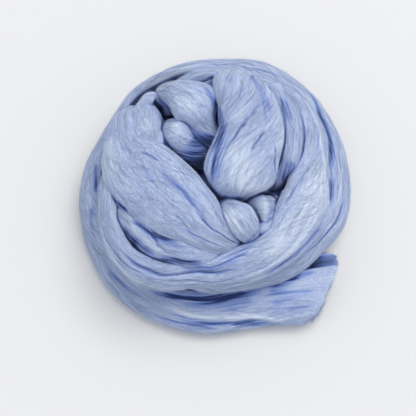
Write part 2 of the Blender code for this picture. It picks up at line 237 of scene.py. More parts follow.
# The bands over the crown, each from the end where it comes up to the end where it dives. The last four
# are small strands that fill the creases between the others.
CROWN_BANDS = {
    "centre_fan": (
        Section(12, 55, 36, 19, 12),
        Section(11.5, 52, 46, 22.5, 14, 12),
        Section(12.5, 45, 53, 25, 16, 30),
        Section(17.5, 34.5, 57, 29, 17, 42),
        Section(19, 19.5, 60, 30.5, 18, 34),
        Section(15.7, 7, 61, 31.2, 18, 24),
        Section(12.7, -2.5, 60.5, 33, 17, 20),
        Section(10.5, -11.2, 56, 30, 15, 14),
        Section(8.5, -14, 44, 20.5, 12, 10),
    ),
    "cross_band": (
        Section(-45, 47.5, 14, 9.5, 10),
        Section(-46, 39.5, 29, 12, 12),
        Section(-47, 30, 40, 16, 13),
        Section(-47, 20, 46, 21, 14),
        Section(-45.5, 10.5, 49, 27.5, 16),
        Section(-40.5, 1, 51, 34.5, 17),
        Section(-31.5, -8.5, 54, 36.5, 18),
        Section(-21.5, -18, 56, 35.5, 18),
        Section(-11, -26, 56, 29.5, 17),
        Section(-1.5, -33, 53, 21, 14),
        Section(7.5, -35.5, 46, 14, 12),
        Section(14, -35, 36, 9.5, 10),
    ),
    "under_band": (
        Section(-51, -9, 34, 8.5, 8),
        Section(-45, -19.5, 40, 12, 9),
        Section(-37, -28.5, 45, 14.5, 10),
        Section(-28.5, -35.5, 47, 14.5, 10),
        Section(-19, -39, 48, 13.5, 10),
        Section(-11, -41, 48, 12.5, 10),
        Section(-1.5, -39.5, 46, 11, 10),
        Section(7.5, -35.5, 40, 8.5, 9),
        Section(14, -31, 30, 6.5, 8),
    ),
    "crown_curl": (
        Section(-28.5, 47.7, 31, 6, 8),
        Section(-26, 45.6, 42, 8.5, 10),
        Section(-22.3, 44, 47, 12, 13),
        Section(-17, 41.8, 51, 18.5, 15),
        Section(-9.2, 36.5, 54, 25, 16),
        Section(-2.2, 29.7, 52, 22, 15),
        Section(0.8, 24.5, 42, 14.5, 12),
        Section(1.5, 22.5, 26, 9, 10),
    ),
    "shoulder": (
        Section(-39, 45, 20, 11, 10),
        Section(-38, 38, 36, 14, 12),
        Section(-37, 32, 43, 16.5, 14),
        Section(-36.5, 25.5, 46, 18, 15),
        Section(-35, 19, 47, 16, 15),
        Section(-33, 14.5, 43, 13.5, 13),
        Section(-31.5, 13.5, 32, 10, 11),
    ),
    "hollow_lump": (
        Section(-26.5, 28.7, 35, 9, 9),
        Section(-22, 25, 45.5, 14.5, 12),
        Section(-16.5, 21.3, 50.5, 18.5, 14),
        Section(-10, 18.3, 46, 17, 13),
        Section(-5, 17.5, 30, 13, 11),
    ),
    "knuckle": (
        Section(2, -10, 43, 8.5, 9),
        Section(6.5, -18.5, 53, 13, 12),
        Section(11.5, -24.5, 55, 15, 14),
        Section(16, -30, 50, 13.5, 12),
        Section(19, -32, 39, 9.5, 9),
    ),
    "right_peep": (
        Section(15, -17, 36, 10.5, 10),
        Section(20, -19.5, 47, 16.5, 13),
        Section(25.5, -19, 47, 16.5, 13),
        Section(32, -13.5, 37, 11.5, 10),
    ),
    "inner_right": (
        Section(30.5, 47.5, 41, 8, 9),
        Section(35.5, 33, 47, 10.5, 10),
        Section(38, 19.5, 49, 11.5, 11),
        Section(37, 7.5, 48, 10.5, 11),
        Section(34, -1, 42, 9.5, 10),
        Section(31.5, -5, 31, 7.5, 8),
    ),
    "curl_root": (
        Section(-38, 36.5, 39, 6, 7),
        Section(-33, 40.7, 42, 7.5, 7),
        Section(-28, 41.2, 41.5, 8, 7),
        Section(-25.3, 37.3, 39.5, 7.5, 7),
        Section(-24, 32.5, 35, 6, 7),
    ),
    "peep_root": (
        Section(15, -29, 38, 8, 8),
        Section(20, -28.5, 44, 9, 9),
        Section(25, -26, 45, 9.5, 9),
        Section(30, -22, 42, 9, 9),
        Section(33, -18, 36, 8, 8),
    ),
    "knuckle_root": (
        Section(2, -12, 39, 7, 8),
        Section(4.4, -17.5, 47, 8.5, 9),
        Section(6.6, -22, 49, 9, 9),
        Section(9.4, -27, 48, 9, 9),
        Section(12.8, -31.3, 45, 8.5, 8),
        Section(16.5, -33.5, 37, 7, 8),
    ),
    "trench_strand": (
        Section(-25, 47, 30, 5, 6),
        Section(-19, 50.5, 37, 6, 7),
        Section(-14, 52.2, 40.5, 6.5, 7),
        Section(-9, 53.8, 42, 6.5, 7),
        Section(-3.4, 54.8, 41, 6, 7),
        Section(3, 55.5, 35, 5, 6),
    ),
}

LOOSE_END = (
    Lying(-57, -3, 11, 10),
    Lying(-59, -15.5, 14, 11),
    Lying(-53, -28, 17, 12),
    Lying(-44.5, -39.5, 20, 13),
    Lying(-32.5, -48, 23, 13),
    Lying(-19, -52.5, 26, 13),
    Lying(-4.5, -54, 29, 13),
    Lying(11.5, -51, 31, 13),
    Lying(30, -48.5, 31.5, 14),
    Lying(56, -45.7, 34.5, 15),
)

# %% [markdown]
# ## Marks
#
# No two stretches of wool are alike. Between bundles run creases, here a narrow one, there a broad hollow
# whose deeper blue is painted shade; along some edges a pale ridge is a painted highlight. The ones one
# would point at are listed, as if drawn on tracing paper laid over the view. A mark is a path of points in
# the picture, in pixels to the right and down, with its half width and how far it dips in millimetres (less
# than nothing stands out) and how much painted shade it gives, bluer and darker (less than nothing is a
# paler painted highlight). Further down, each path is laid onto the band that it is drawn on.

# %% The marks
Mark = namedtuple("Mark", "drawn width dip blue")

# The last number of each mark is its painted shade; below nothing it is a painted highlight.
MARKS = {
    "outer_wrap": (
        Mark([(302, 83), (312, 97), (321, 115), (328, 133), (331, 155), (331, 180)], 2, 0.3, 1.3),
        Mark([(331, 172), (331, 190), (329, 208)], 1.5, 0.4, 1),
        Mark([(346, 190), (341, 209), (333, 225), (322, 238), (310, 250), (298, 261)], 0.8, 0.8, 1),
        Mark([(336, 124), (341, 150), (341, 180), (338, 203), (330, 220)], 1.2, -0.3, -0.6),
        Mark([(244, 70), (262, 70), (276, 75), (288, 85)], 0.9, 0.4, 0.6),
        Mark([(133, 101), (143, 94), (152, 91), (162, 84), (172, 80), (186, 77)], 0.9, 0.5, 1.4),
        Mark([(141, 90), (152, 83), (163, 77.5), (175, 73.5), (188, 71), (204, 69)], 2.2, 0, -1.7),
        Mark([(97, 160), (95, 172), (95, 184), (96, 197)], 1.5, 0.8, 1),
        Mark([(95, 192), (92, 208), (92, 225), (95, 240), (99, 252)], 2, 0.3, 0.5),
    ),
    "upper_wrap": (
        Mark([(110, 192), (114, 199), (118, 206)], 0.9, 0.3, 1.2),
        Mark([(101, 218), (104, 234), (112, 250), (122, 261), (136, 271), (154, 278)], 0.6, 0.7, 0.7),
        Mark([(114, 238), (126, 256), (148, 270), (175, 275), (212, 273), (250, 264)], 1.1, 1.1, 0.95),
        Mark([(148, 275), (170, 280), (200, 281), (236, 277), (262, 267), (284, 250)], 0.5, 0.5, 0.6),
        Mark([(155, 283), (180, 285), (206, 285)], 0.45, 0.3, 0.4),
        Mark([(98, 205), (101, 230), (117, 263), (148, 284), (186, 288), (225, 284)], 0.8, -0.3, -0.7),
        Mark([(225, 281), (250, 275), (272, 264), (297, 242), (313, 222), (322, 203)], 0.8, -0.3, -0.9),
        Mark([(328, 206), (319, 229), (305, 245), (291, 257), (274, 268), (252, 278)], 1.3, 0.7, 1),
        Mark([(252, 278), (228, 285), (200, 288), (172, 288)], 1, 0.3, 0.4),
        Mark([(323, 208), (326, 190), (324, 165), (320, 140), (311, 110), (300, 90)], 0.8, -0.4, -0.9),
        Mark([(168, 262), (190, 267), (214, 266), (234, 258), (250, 246), (260, 234)], 1.9, 0.2, 0.7),
        Mark([(272, 204), (269, 218), (265, 232)], 1, 0.1, 0.6),
        Mark([(297, 98), (301, 115), (303, 135), (302, 150), (297, 166)], 0.5, 0.8, 0.9),
        Mark([(314, 152), (307, 170), (297, 184), (287, 199), (278, 214)], 0.5, 0.6, 0.7),
        Mark([(314, 122), (318, 142), (317, 160), (311, 176)], 1.6, 0.2, 0.35),
        Mark([(306, 200), (298, 214), (289, 227), (278, 241)], 0.5, 0.3, 0.4),
        Mark([(292, 200), (282, 218), (272, 236)], 0.5, 0.3, 0.4),
        Mark([(262, 81), (273, 89), (282, 98), (290, 110)], 1.6, 0.3, 0.6),
        Mark([(194, 74), (215, 70), (240, 69), (262, 75), (280, 87), (296, 101)], 0.8, -0.2, -0.5),
        Mark([(318, 140), (318, 180), (304, 212), (284, 236), (262, 252), (240, 262)], 4.5, 0, -1),
        Mark([(156, 98), (160, 103), (164, 110)], 2.2, 0, -1),
    ),
    "centre_fan": (
        Mark([(216, 106), (219, 130), (217, 150), (213, 166), (212, 180), (216, 193)], 4, 0.2, 1.1),
        Mark([(266, 97), (256, 106), (246, 118), (237, 131), (228, 143), (219, 156)], 0.5, 1, 0.9),
        Mark([(246, 118), (237, 131), (228, 143)], 0.5, 0.6, 0.5),
        Mark([(268, 126), (261, 136), (254, 146), (247, 155)], 0.5, 1.1, 1),
        Mark([(240, 70), (252, 76), (260, 86), (265, 97), (272, 112), (277, 126)], 3.2, 0.2, 0.5),
        Mark([(258, 92), (263, 104), (266, 118), (264, 130)], 3, 0.2, 0.3),
        Mark([(272, 138), (275, 152), (276, 166), (277, 178)], 0.6, 0.8, 1.1),
        Mark([(270, 148), (272, 164), (273, 180)], 2.4, 0.2, 0.4),
        Mark([(229, 72), (229, 84)], 1.6, 0.3, 0.5),
        Mark([(243, 76), (241, 90), (236, 104)], 0.5, 0.5, 0.6),
        Mark([(229, 84), (227, 102), (223, 118)], 0.5, 0.3, 0.4),
        Mark([(254, 172), (245, 184), (236, 196)], 0.45, 0.4, 0.5),
        Mark([(264, 148), (252, 163), (240, 178)], 0.45, 0.3, 0.4),
        Mark([(217, 197), (230, 200), (246, 203), (262, 197)], 1.2, 0.2, 0.5),
        Mark([(232, 135), (238, 160), (244, 178), (250, 196)], 6, 0, -1),
        Mark([(240, 104), (232, 128)], 4, 0, -0.3),
    ),
    "cross_band": (
        Mark([(156, 160), (168, 174), (181, 189), (193, 203), (204, 216), (216, 229)], 2, 0.3, 0.4),
        Mark([(168, 175), (178, 186), (188, 197), (198, 209)], 0.5, 0.6, 0.6),
        Mark([(192, 206), (202, 219), (212, 229), (220, 234), (230, 240), (242, 244)], 0.5, 1.1, 1.05),
        Mark([(178, 225), (190, 233), (202, 239), (214, 244), (228, 249)], 0.45, 0.8, 0.8),
        Mark([(172, 208), (182, 222), (193, 235)], 0.45, 0.4, 0.5),
        Mark([(180, 212), (189, 224), (199, 234)], 0.45, 0.3, 0.4),
        Mark([(116, 141), (126, 151), (138, 161)], 1, 0.4, 0.5),
        Mark([(138, 148), (149, 156), (161, 162)], 0.7, 0.4, 0.6),
        Mark([(106, 152), (118, 165), (126, 180)], 0.6, 0.35, 0.45),
        Mark([(138, 160), (147, 173), (156, 186)], 0.5, 0.3, 0.45),
        Mark([(126, 110), (125, 122), (127, 134)], 0.8, 0.3, 0.4),
        Mark([(113, 116), (110, 130), (109, 145)], 1.2, 0.3, 0.35),
        Mark([(104, 170), (106, 190), (114, 206), (128, 218), (146, 229)], 2.2, 0.2, 0.35),
        Mark([(108, 186), (113, 197), (121, 207), (131, 214)], 1.2, 0.4, 0.9),
        Mark([(116, 198), (121, 205), (127, 210)], 1, 0.3, 1.3),
        Mark([(112, 132), (108, 155), (117, 178)], 7, 0, -0.6),
    ),
    "under_band": (
        Mark([(149, 231), (156, 241), (163, 249), (172, 255)], 0.5, 0.8, 0.9),
        Mark([(146, 226), (160, 236), (176, 245), (196, 251)], 1.2, 0.2, 0.5),
        Mark([(121, 224), (126, 232), (132, 241), (140, 249)], 1.4, 0.4, 1.2),
        Mark([(128, 213), (137, 220), (147, 226), (157, 232), (168, 238), (180, 243)], 1.7, 0.6, 1.7),
        Mark([(130, 233), (138, 242), (148, 250), (160, 256)], 3.2, 0.1, 0.7),
        Mark([(148, 255), (168, 260), (186, 262), (208, 261)], 1.3, 0.3, 1.5),
        Mark([(127, 213), (132, 225), (140, 236), (150, 244), (162, 251), (174, 257)], 1, -0.5, -0.9),
    ),
    "crown_curl": (
        Mark([(176, 86), (186, 94), (192, 106)], 5, 0, 0.25),
        Mark([(199, 141), (207, 140), (213, 133)], 2.4, 0, 0.9),
        Mark([(176, 117), (184, 122), (193, 130), (201, 139)], 0.9, 0.3, 0.6),
        Mark([(201, 82), (208, 90), (212, 98), (215, 110), (216, 124)], 1.3, 0.4, 0.7),
        Mark([(202, 128), (208, 138), (213, 149)], 3.6, 0.3, 0.9),
        Mark([(176, 88), (190, 95), (200, 106), (207, 120)], 0.5, 0.35, 0.4),
        Mark([(168, 98), (181, 107), (193, 119)], 0.5, 0.3, 0.3),
        Mark([(154, 95), (164, 87), (176, 82), (190, 80)], 0.8, -0.3, -0.8),
        Mark([(174, 90), (188, 98), (199, 113)], 5, 0, -0.6),
    ),
    "shoulder": (
        Mark([(140, 108), (148, 106), (156, 110), (160, 118)], 1.8, 0, 0.3),
        Mark([(159, 112), (161, 128), (164, 146)], 1.4, 0.2, 0.7),
        Mark([(133, 110), (138, 105), (146, 103), (154, 104)], 0.7, -0.3, -0.6),
        Mark([(143, 114), (148, 130), (152, 144)], 5, 0, -0.5),
    ),
    "hollow_lump": (
        Mark([(188, 139), (196, 145), (204, 152)], 3.2, 0, 1),
        Mark([(180, 147), (190, 153), (200, 160), (208, 166)], 4.5, 0.1, 1.3),
        Mark([(166, 128), (172, 124), (181, 122)], 0.9, -0.2, -0.6),
        Mark([(170, 126), (178, 130), (184, 136)], 3, 0, -0.6),
    ),
    "knuckle": (
        Mark([(221, 203), (227, 216), (234, 228), (243, 237)], 0.45, 0.4, 0.5),
        Mark([(230, 204), (239, 217), (245, 230)], 0.45, 0.25, 0.35),
        Mark([(240, 240), (248, 241), (255, 233), (259, 224)], 1.4, 0.2, 0.6),
        Mark([(230, 206), (241, 222)], 4, 0, -0.6),
        Mark([(224, 207), (229, 217), (236, 228), (245, 236)], 1.6, 0, -1.2),
    ),
    "right_peep": (
        Mark([(248, 206), (253, 214), (258, 224)], 1.4, 0.2, 0.6),
        Mark([(272, 203), (269, 216), (266, 228)], 1.2, 0.2, 0.6),
        Mark([(254, 206), (270, 204)], 4, 0, -0.8),
    ),
    "inner_right": (
        Mark([(280, 92), (282, 108), (284, 124), (284, 138), (281, 154)], 0.6, 0.7, 0.8),
        Mark([(277, 90), (282, 100), (288, 114), (291, 128)], 2.4, 0.2, 0.6),
        Mark([(292, 156), (287, 170), (280, 184)], 2.8, 0.2, 0.9),
    ),
    "loose_band": (
        Mark([(102, 264), (113, 277), (125, 286.5), (138, 294), (152, 300)], 1.8, 0.7, 0.6),
        Mark([(140, 286), (162, 293), (190, 297), (220, 297), (247, 293), (272, 287)], 1.5, 0.4, 2.3),
        Mark([(170, 301), (200, 304), (225, 304), (245, 301), (266, 296)], 2.2, 0.2, 0.6),
        Mark([(146, 297), (165, 304), (190, 314), (215, 317), (250, 317), (290, 322)], 1, -0.8, -1.5),
        Mark([(160, 307), (182, 317), (205, 322), (230, 323), (255, 322), (280, 323)], 1.6, 0.5, 1.15),
        Mark([(145, 312), (165, 319), (184, 324), (204, 327), (226, 329)], 0.8, 0.7, 0.9),
        Mark([(205, 306), (228, 308), (256, 310)], 2.6, 0.1, 0.25),
        Mark([(250, 294), (268, 294), (290, 291), (310, 289), (328, 286)], 0.5, 0.5, 0.7),
        Mark([(262, 291), (276, 285), (290, 279), (304, 273)], 1.8, 0.2, 0.9),
        Mark([(258, 302), (280, 300), (304, 298)], 0.5, 0.2, 0.4),
        Mark([(122, 298), (140, 309), (158, 316)], 0.6, 0.4, 0.5),
        Mark([(284, 309), (303, 307), (320, 304)], 0.8, 0.2, 0.4),
        Mark([(262, 298), (280, 300), (300, 302), (318, 300)], 6, 0, 0.36),
        Mark([(285, 281), (297, 276.5), (308, 273), (318, 270.5)], 0.9, 0.1, 0.8),
    ),
}

# %% [markdown]
# ## Stations along a band
#
# A smooth curve through the table's rows gives the stations, evenly spaced, with the width and the
# thickness carried along. Each station also needs to know which way the band runs, which way its flat
# face looks and which way is sideways; these three directions are its own little frame. The twist of the
# band turns into a drift: how far, sideways, the fibres have wandered by then.

# %% Stations
CURVE_SAMPLES = 24
FACING_POINT = np.array([0, 0, -15.0])  # mm; the bands over the crown face away from it
Stations = namedtuple("Stations", "crest up side width thick along drift closed")


def smooth_through(rows, step, closed):
    """Stations a step apart on a Catmull-Rom curve through every column of the rows."""
    rows = np.array(rows, float)
    if closed:
        padded = np.vstack([rows[-1:], rows, rows[:2]])
    else:
        padded = np.vstack([2 * rows[0] - rows[1], rows, 2 * rows[-1] - rows[-2]])
    fine = []
    for p0, p1, p2, p3 in zip(padded, padded[1:], padded[2:], padded[3:]):
        for t in np.linspace(0, 1, CURVE_SAMPLES, endpoint=False):
            bend = t * t * (p0 - 2.5 * p1 + 2 * p2 - 0.5 * p3)
            turn = t * t * t * (1.5 * (p1 - p2) + 0.5 * (p3 - p0))
            fine.append(p1 + 0.5 * t * (p2 - p0) + bend + turn)
    fine.append(padded[-2])
    fine = np.array(fine)
    steps = np.linalg.norm(np.diff(fine[:, :3], axis=0), axis=1)
    along = np.concatenate([[0], np.cumsum(steps)])
    count = int(along[-1] / step) + 1
    at = np.linspace(0, along[-1], count, endpoint=not closed)
    return np.stack([np.interp(at, along, column) for column in fine.T], axis=1), at


def unit(vectors):
    return vectors / np.linalg.norm(vectors, axis=-1, keepdims=True)


def run_of(points, closed):
    if closed:
        return unit(np.roll(points, -1, axis=0) - np.roll(points, 1, axis=0))
    return unit(np.gradient(points, axis=0))


def framed(rows, along, faces_out, twist, closed):
    run = run_of(rows[:, :3], closed)
    up = unit(faces_out - run * (faces_out * run).sum(1, keepdims=True))
    drift = np.cumsum(np.tan(np.radians(twist))) * (along[1] - along[0])
    return Stations(rows[:, :3], up, np.cross(run, up), rows[:, 3], rows[:, 4], along, drift, closed)


def wrap_stations(turns, step, closed):
    rows = []
    for turn in turns:
        angle = math.radians(turn.angle)
        x, y = turn.radius * math.cos(angle), turn.radius * math.sin(angle)
        rows.append((x, y, turn.z, turn.width, turn.thick, turn.slope, turn.twist))
    rows, along = smooth_through(rows, step, closed)
    slope = np.radians(rows[:, 5])
    faces_out = np.column_stack([unit(rows[:, :2]) * np.cos(slope)[:, None], np.sin(slope)])
    return framed(rows, along, faces_out, rows[:, 6], closed)


def crown_stations(sections, step):
    rows, along = smooth_through(sections, step, closed=False)
    return framed(rows, along, unit(rows[:, :3] - FACING_POINT), rows[:, 5], closed=False)


print("the outer wrap is", round(wrap_stations(OUTER_WRAP, 2.0, False).along[-1]), "mm long")

# %% [markdown]
# ## Noise that is combed
#
# Combed fibres make streaks: what varies across the band hardly varies along it. So the noise below is
# read in the band's own coordinates, how far along and how far across, and is stretched along. It is the
# usual gradient noise: a slope is drawn at each point of a lattice and the slopes are blended between.
# The seed is fixed, so the nest is the same each time.

# %% Combed noise
LATTICE = 256
SEED_STEP_X = 37.7
SEED_STEP_Y = 91.3
NOISE_GAIN = 1.5
RNG = np.random.default_rng(7)
ANGLES = RNG.uniform(0, 2 * math.pi, (LATTICE, LATTICE))
SLOPES = np.stack([np.cos(ANGLES), np.sin(ANGLES)], axis=-1)


def noise(x, y, seed):
    """Gradient noise between about -1 and 1, a new field for each seed."""
    x = x + SEED_STEP_X * seed
    y = y + SEED_STEP_Y * seed
    x0, y0 = np.floor(x).astype(int), np.floor(y).astype(int)
    fx, fy = x - x0, y - y0
    ease_x = fx * fx * fx * (fx * (fx * 6 - 15) + 10)
    ease_y = fy * fy * fy * (fy * (fy * 6 - 15) + 10)

    def corner(dx, dy):
        slope = SLOPES[(x0 + dx) % LATTICE, (y0 + dy) % LATTICE]
        return slope[..., 0] * (fx - dx) + slope[..., 1] * (fy - dy)

    low = corner(0, 0) * (1 - ease_x) + corner(1, 0) * ease_x
    high = corner(0, 1) * (1 - ease_x) + corner(1, 1) * ease_x
    return NOISE_GAIN * (low * (1 - ease_y) + high * ease_y)


print("noise runs from", round(float(noise(np.linspace(0, 99, 5000), np.full(5000, 0.3), 1).min()), 2))

# %% [markdown]
# ## The surface of a band
#
# A band's cross-section is a flattened oval, a little squarer than an ellipse. Its surface is a grid of
# points: one way along the run, the other way round the oval, closer together over the top, which shows.
# On this bare surface lies the relief of the wool. Combed fibres gather in soft bundles a few millimetres
# wide, which swell, split and join; between two of them runs a thin, sharper furrow that comes and goes.
# Finer bundles lie on the coarse ones. All of it follows the run, wandering a little sideways.

# %% The bare surface and its relief
FULLNESS = (0.85, 0.8)  # across and up; 1 is an ellipse
CROWDING = 0.35  # how much closer the points lie over the top than under the band
WANDER = 2.6  # mm that the bundles drift sideways
SMALL_WANDER = 0.5
Streaks = namedtuple("Streaks", "long wide")  # how long and how wide streaks of one kind are, in mm
DRIFTS = Streaks(55, 16)
SMALL_DRIFTS = Streaks(14, 5)
BUNDLES = Streaks(60, 11)
SMALL_BUNDLES = Streaks(30, 4.6)
FURROWS = Streaks(80, 9)
FURROW_PLACES = Streaks(26, 8)
SMALL_FURROWS = Streaks(30, 3.6)
SMALL_FURROW_PLACES = Streaks(12, 5)
FINE_STREAKS = Streaks(7, 1.3)
ON_SURFACE = "points outward along line furrow columns drift closed closed_in"
Surface = namedtuple("Surface", ON_SURFACE, defaults=[None])


def oval(width, thick, turn):
    cos, sin = np.cos(turn), np.sin(turn)
    across = np.sign(cos) * np.abs(cos) ** FULLNESS[0] * width / 2
    up = np.sign(sin) * np.abs(sin) ** FULLNESS[1] * thick / 2
    return across, up


def turns_round(count):
    share = np.arange(count) / count
    return -math.pi / 2 + 2 * math.pi * share + CROWDING * np.sin(2 * math.pi * share)


def combed(along, line, streaks, seed):
    return noise(along / streaks.long, line / streaks.wide, seed)


def crease(along, line, streaks, seed, sharpness):
    """1 along thin lines and 0 between them."""
    return np.exp(-sharpness * np.abs(combed(along, line, streaks, seed)))


def wool_relief(along, line, seed):
    """How far the wool stands out or in, in mm, and how much painted shade each point gets from the furrows
    that it lies in, from 0 to 1.
    """
    drift = WANDER * combed(along, line, DRIFTS, seed)
    line = line + drift + SMALL_WANDER * combed(along, line, SMALL_DRIFTS, seed + 1)
    swell = 0.5 * combed(along, line, BUNDLES, seed + 2)
    swell = swell + 0.12 * combed(along, line, SMALL_BUNDLES, seed + 3)
    here = np.clip(-0.1 + 1.8 * combed(along, line, FURROW_PLACES, seed + 4), 0, 1)
    coarse = crease(along, line, FURROWS, seed + 5, sharpness=34) * here
    there = np.clip(0.1 + 1.2 * combed(along, line, SMALL_FURROW_PLACES, seed + 7), 0, 1)
    medium = crease(along, line, SMALL_FURROWS, seed + 6, sharpness=14) * there
    fine = combed(along, line, FINE_STREAKS, seed + 8)
    height = swell - 0.4 * coarse - 0.07 * medium + 0.05 * fine
    return height, 0.48 * coarse + 0.13 * medium - 0.05 * fine


print("furrows are about", FURROWS.wide, "mm apart and small ones", SMALL_FURROWS.wide, "mm")

# %% [markdown]
# ## Marks on a band
#
# To lay a mark on its band, the points of the bare band are looked at through the camera: each one then
# has a place in the picture. Of those that face the camera, the one nearest to a drawn point is where the
# mark goes; where two are as near, the one in front is taken. Points that land on top of each other are
# left out. Along the path the mark fades in and out, and its width and its painted shade vary from fibre to
# fibre, because a clean stroke would look drawn.

# %% Laying the marks
TOWARDS_VIEW = np.array([0, -math.cos(HEIGHT_ANGLE), math.sin(HEIGHT_ANGLE)])
UP_THE_PICTURE = np.array([0, math.sin(HEIGHT_ANGLE), math.cos(HEIGHT_ANGLE)])
LEAST_FACING = 0.05  # cosine of the angle between the surface's outward direction and the view
PIXEL_MIDDLE = 0.5
NEARER_WINS = 0.5  # square pixels of miss for each mm further away
LEAST_STEP = 1.5  # mm between two points of a path
MARK_WANDER = 0.5  # mm
RAGGED = 0.6  # how unevenly wide a mark is
STREAKY = 1.2  # how unevenly the broad marks take their painted shade, across the fibres
FADE_SHARE = 0.3  # of a mark's length, at each of its ends
WANDER_SEED = 400
RAGGED_SEED = 410
STREAKY_SEED = 440


def in_picture(points):
    """Where points, in mm, stand in the picture, in pixels right and down, and how far off they are."""
    from_aim = points - np.array(AIM) / MM
    far = DISTANCE / MM - from_aim @ TOWARDS_VIEW
    zoom = PICTURE * LENS / SENSOR
    right = PICTURE * (0.5 - SHIFT[0]) + zoom * from_aim[..., 0] / far
    down = PICTURE * (0.5 + SHIFT[1]) - zoom * (from_aim @ UP_THE_PICTURE) / far
    return right, down, far


def laid_on(drawn, points, outward, along, across):
    """A path drawn in the picture, as (along, across) points on the band that shows there."""
    right, down, far = in_picture(points)
    facing = outward @ TOWARDS_VIEW > LEAST_FACING
    path = []
    for x, y in drawn:
        miss = (right - x - PIXEL_MIDDLE) ** 2 + (down - y - PIXEL_MIDDLE) ** 2 + NEARER_WINS * far
        spot = np.unravel_index(np.argmin(np.where(facing, miss, np.inf)), miss.shape)
        here = np.array([along[spot], across[spot]])
        if not path or np.abs(here - path[-1]).sum() > LEAST_STEP:
            path.append(here)
    return path


def beside(path, along, across):
    """How far points lie from a path, in mm, and how far along it, from 0 to 1."""
    lengths = np.linalg.norm(np.diff(path, axis=0), axis=1)
    whole, done = lengths.sum(), 0.0
    nearest, place = np.full(along.shape, np.inf), np.zeros(along.shape)
    for start, end, length in zip(path, path[1:], lengths):
        direction = (end - start) / length
        step_along, step_across = along - start[0], across - start[1]
        forward = np.clip(step_along * direction[0] + step_across * direction[1], 0, length)
        away = np.hypot(step_along - forward * direction[0], step_across - forward * direction[1])
        closer = away < nearest
        nearest = np.where(closer, away, nearest)
        place = np.where(closer, (done + forward) / whole, place)
        done += length
    return nearest, place


def marks_on(name, points, outward, along, across):
    """Dip in mm, and painted shade and painted highlight, of the marks listed for a band."""
    wander = MARK_WANDER * noise(along / 9, across / 4, WANDER_SEED)
    dip, blue = np.zeros(along.shape), np.zeros(along.shape)
    for number, mark in enumerate(MARKS.get(name, ())):
        path = np.array(laid_on(mark.drawn, points, outward, along, across))
        if len(path) < 2:
            continue
        nearest, place = beside(path, along, across + wander)
        ragged = 1 + RAGGED * noise(along / 24, across / 1.3, RAGGED_SEED + number)
        ragged = np.clip(ragged, 0.3, 1.7)
        uneven = STREAKY * min(mark.width / 2, 1)
        streaky = 1 + uneven * noise(along / 22, across / 0.8, STREAKY_SEED + number)
        to_end = np.minimum(place, 1 - place)
        fade = np.sin(math.pi / 2 * np.clip(to_end / FADE_SHARE, 0.1, 1)) ** 2
        strength = fade * np.exp(-((nearest / (mark.width * ragged)) ** 2))
        dip += mark.dip * strength
        # painted shade where a mark's value is above nothing, painted highlight where it is below
        blue += mark.blue * strength * streaky
    return dip, blue


print(sum(len(marks) for marks in MARKS.values()), "marks on", len(MARKS), "bands")

# %% [markdown]
# ## A band with its relief
#
# Now the oval is set on every station, sideways and up in the station's own frame, and each point is moved
# outwards or inwards by the relief and the marks. The underside keeps its bare form: it doesn't show, and
# smooth undersides lie close. A few bands over the crown are pulled tight where they bulge, so their relief
# is calmer. A band that closes into a ring needs one more thing: its last stretch is blended into the
# relief that its first stretch goes on from, so that no seam shows.

# %% Bands with relief
CALM = {"crown_curl": 0.3, "hollow_lump": 0.35, "shoulder": 0.7, "knuckle": 0.6}  # share of relief left
SEAM_FADE = 40.0  # mm
UNDERSIDE = -0.97  # sine of the turn round the oval up to which a point keeps its bare place
UNDERSIDE_FADE = 2.5  # how fast the relief sets in above it


def outward_of(points, closed):
    if closed:
        along = np.roll(points, -1, axis=0) - np.roll(points, 1, axis=0)
    else:
        along = np.gradient(points, axis=0)
    around = np.roll(points, -1, axis=1) - np.roll(points, 1, axis=1)
    return unit(np.cross(along, around))


def seam_blended(height, furrow, stations, line, seed):
    """On a closed ring, the last stretch fades into the relief that the first one would go on from."""
    length = stations.along[-1] + stations.along[1]
    share = np.clip((stations.along - (length - SEAM_FADE)) / SEAM_FADE, 0, 1)[:, None]
    before = np.repeat((stations.along - length)[:, None], line.shape[1], axis=1)
    other_height, other_shading = wool_relief(before, line, seed)
    return height + share * (other_height - height), furrow + share * (other_shading - furrow)


def band_surface(stations, points_round, seed, name):
    turn = turns_round(points_round)
    across, up = oval(stations.width[:, None], stations.thick[:, None], turn[None, :])
    middle = stations.crest - stations.up * stations.thick[:, None] / 2
    points = middle[:, None] + across[..., None] * stations.side[:, None]
    points = points + up[..., None] * stations.up[:, None]
    outward = outward_of(points, stations.closed)
    flat_across, flat_up = oval(stations.width.mean(), stations.thick.mean(), turn)
    round_step = np.hypot(np.diff(flat_across), np.diff(flat_up))
    columns = np.concatenate([[0], np.cumsum(round_step)])
    columns = columns - columns[points_round // 2]
    along = np.repeat(stations.along[:, None], points_round, axis=1)
    line = columns[None, :] + stations.drift[:, None]
    height, furrow = wool_relief(along, line, seed)
    calm = CALM.get(name, 1)
    height, furrow = height * calm, furrow * calm
    if stations.closed:
        height, furrow = seam_blended(height, furrow, stations, line, seed)
    across = np.repeat(columns[None, :], len(along), axis=0)
    dip, blue = marks_on(name, points, outward, along, across)
    shown = np.clip((np.sin(turn)[None, :] - UNDERSIDE) * UNDERSIDE_FADE, 0, 1)
    points = points + outward * ((height - dip) * shown)[..., None]
    outward = outward_of(points, stations.closed)
    # Painted shade of the furrows and the marks, with painted highlight where marks go below nothing; none
    # on the underside.
    furrow = (furrow + blue) * shown
    return Surface(points, outward, along, line, furrow, columns, stations.drift, stations.closed)


print("calmer bands:", ", ".join(CALM))

# %% [markdown]
# ## The wraps and the crown
#
# The outer wrap runs low round the outside, the upper wrap goes right round above it and holds the nest
# together, and the inner turn fills the room under the crown. Over them, the last turns of the winding
# cross the middle and dive between each other. The broad bands get more points round them than the narrow
# ones, so that a streak is as finely drawn on each.

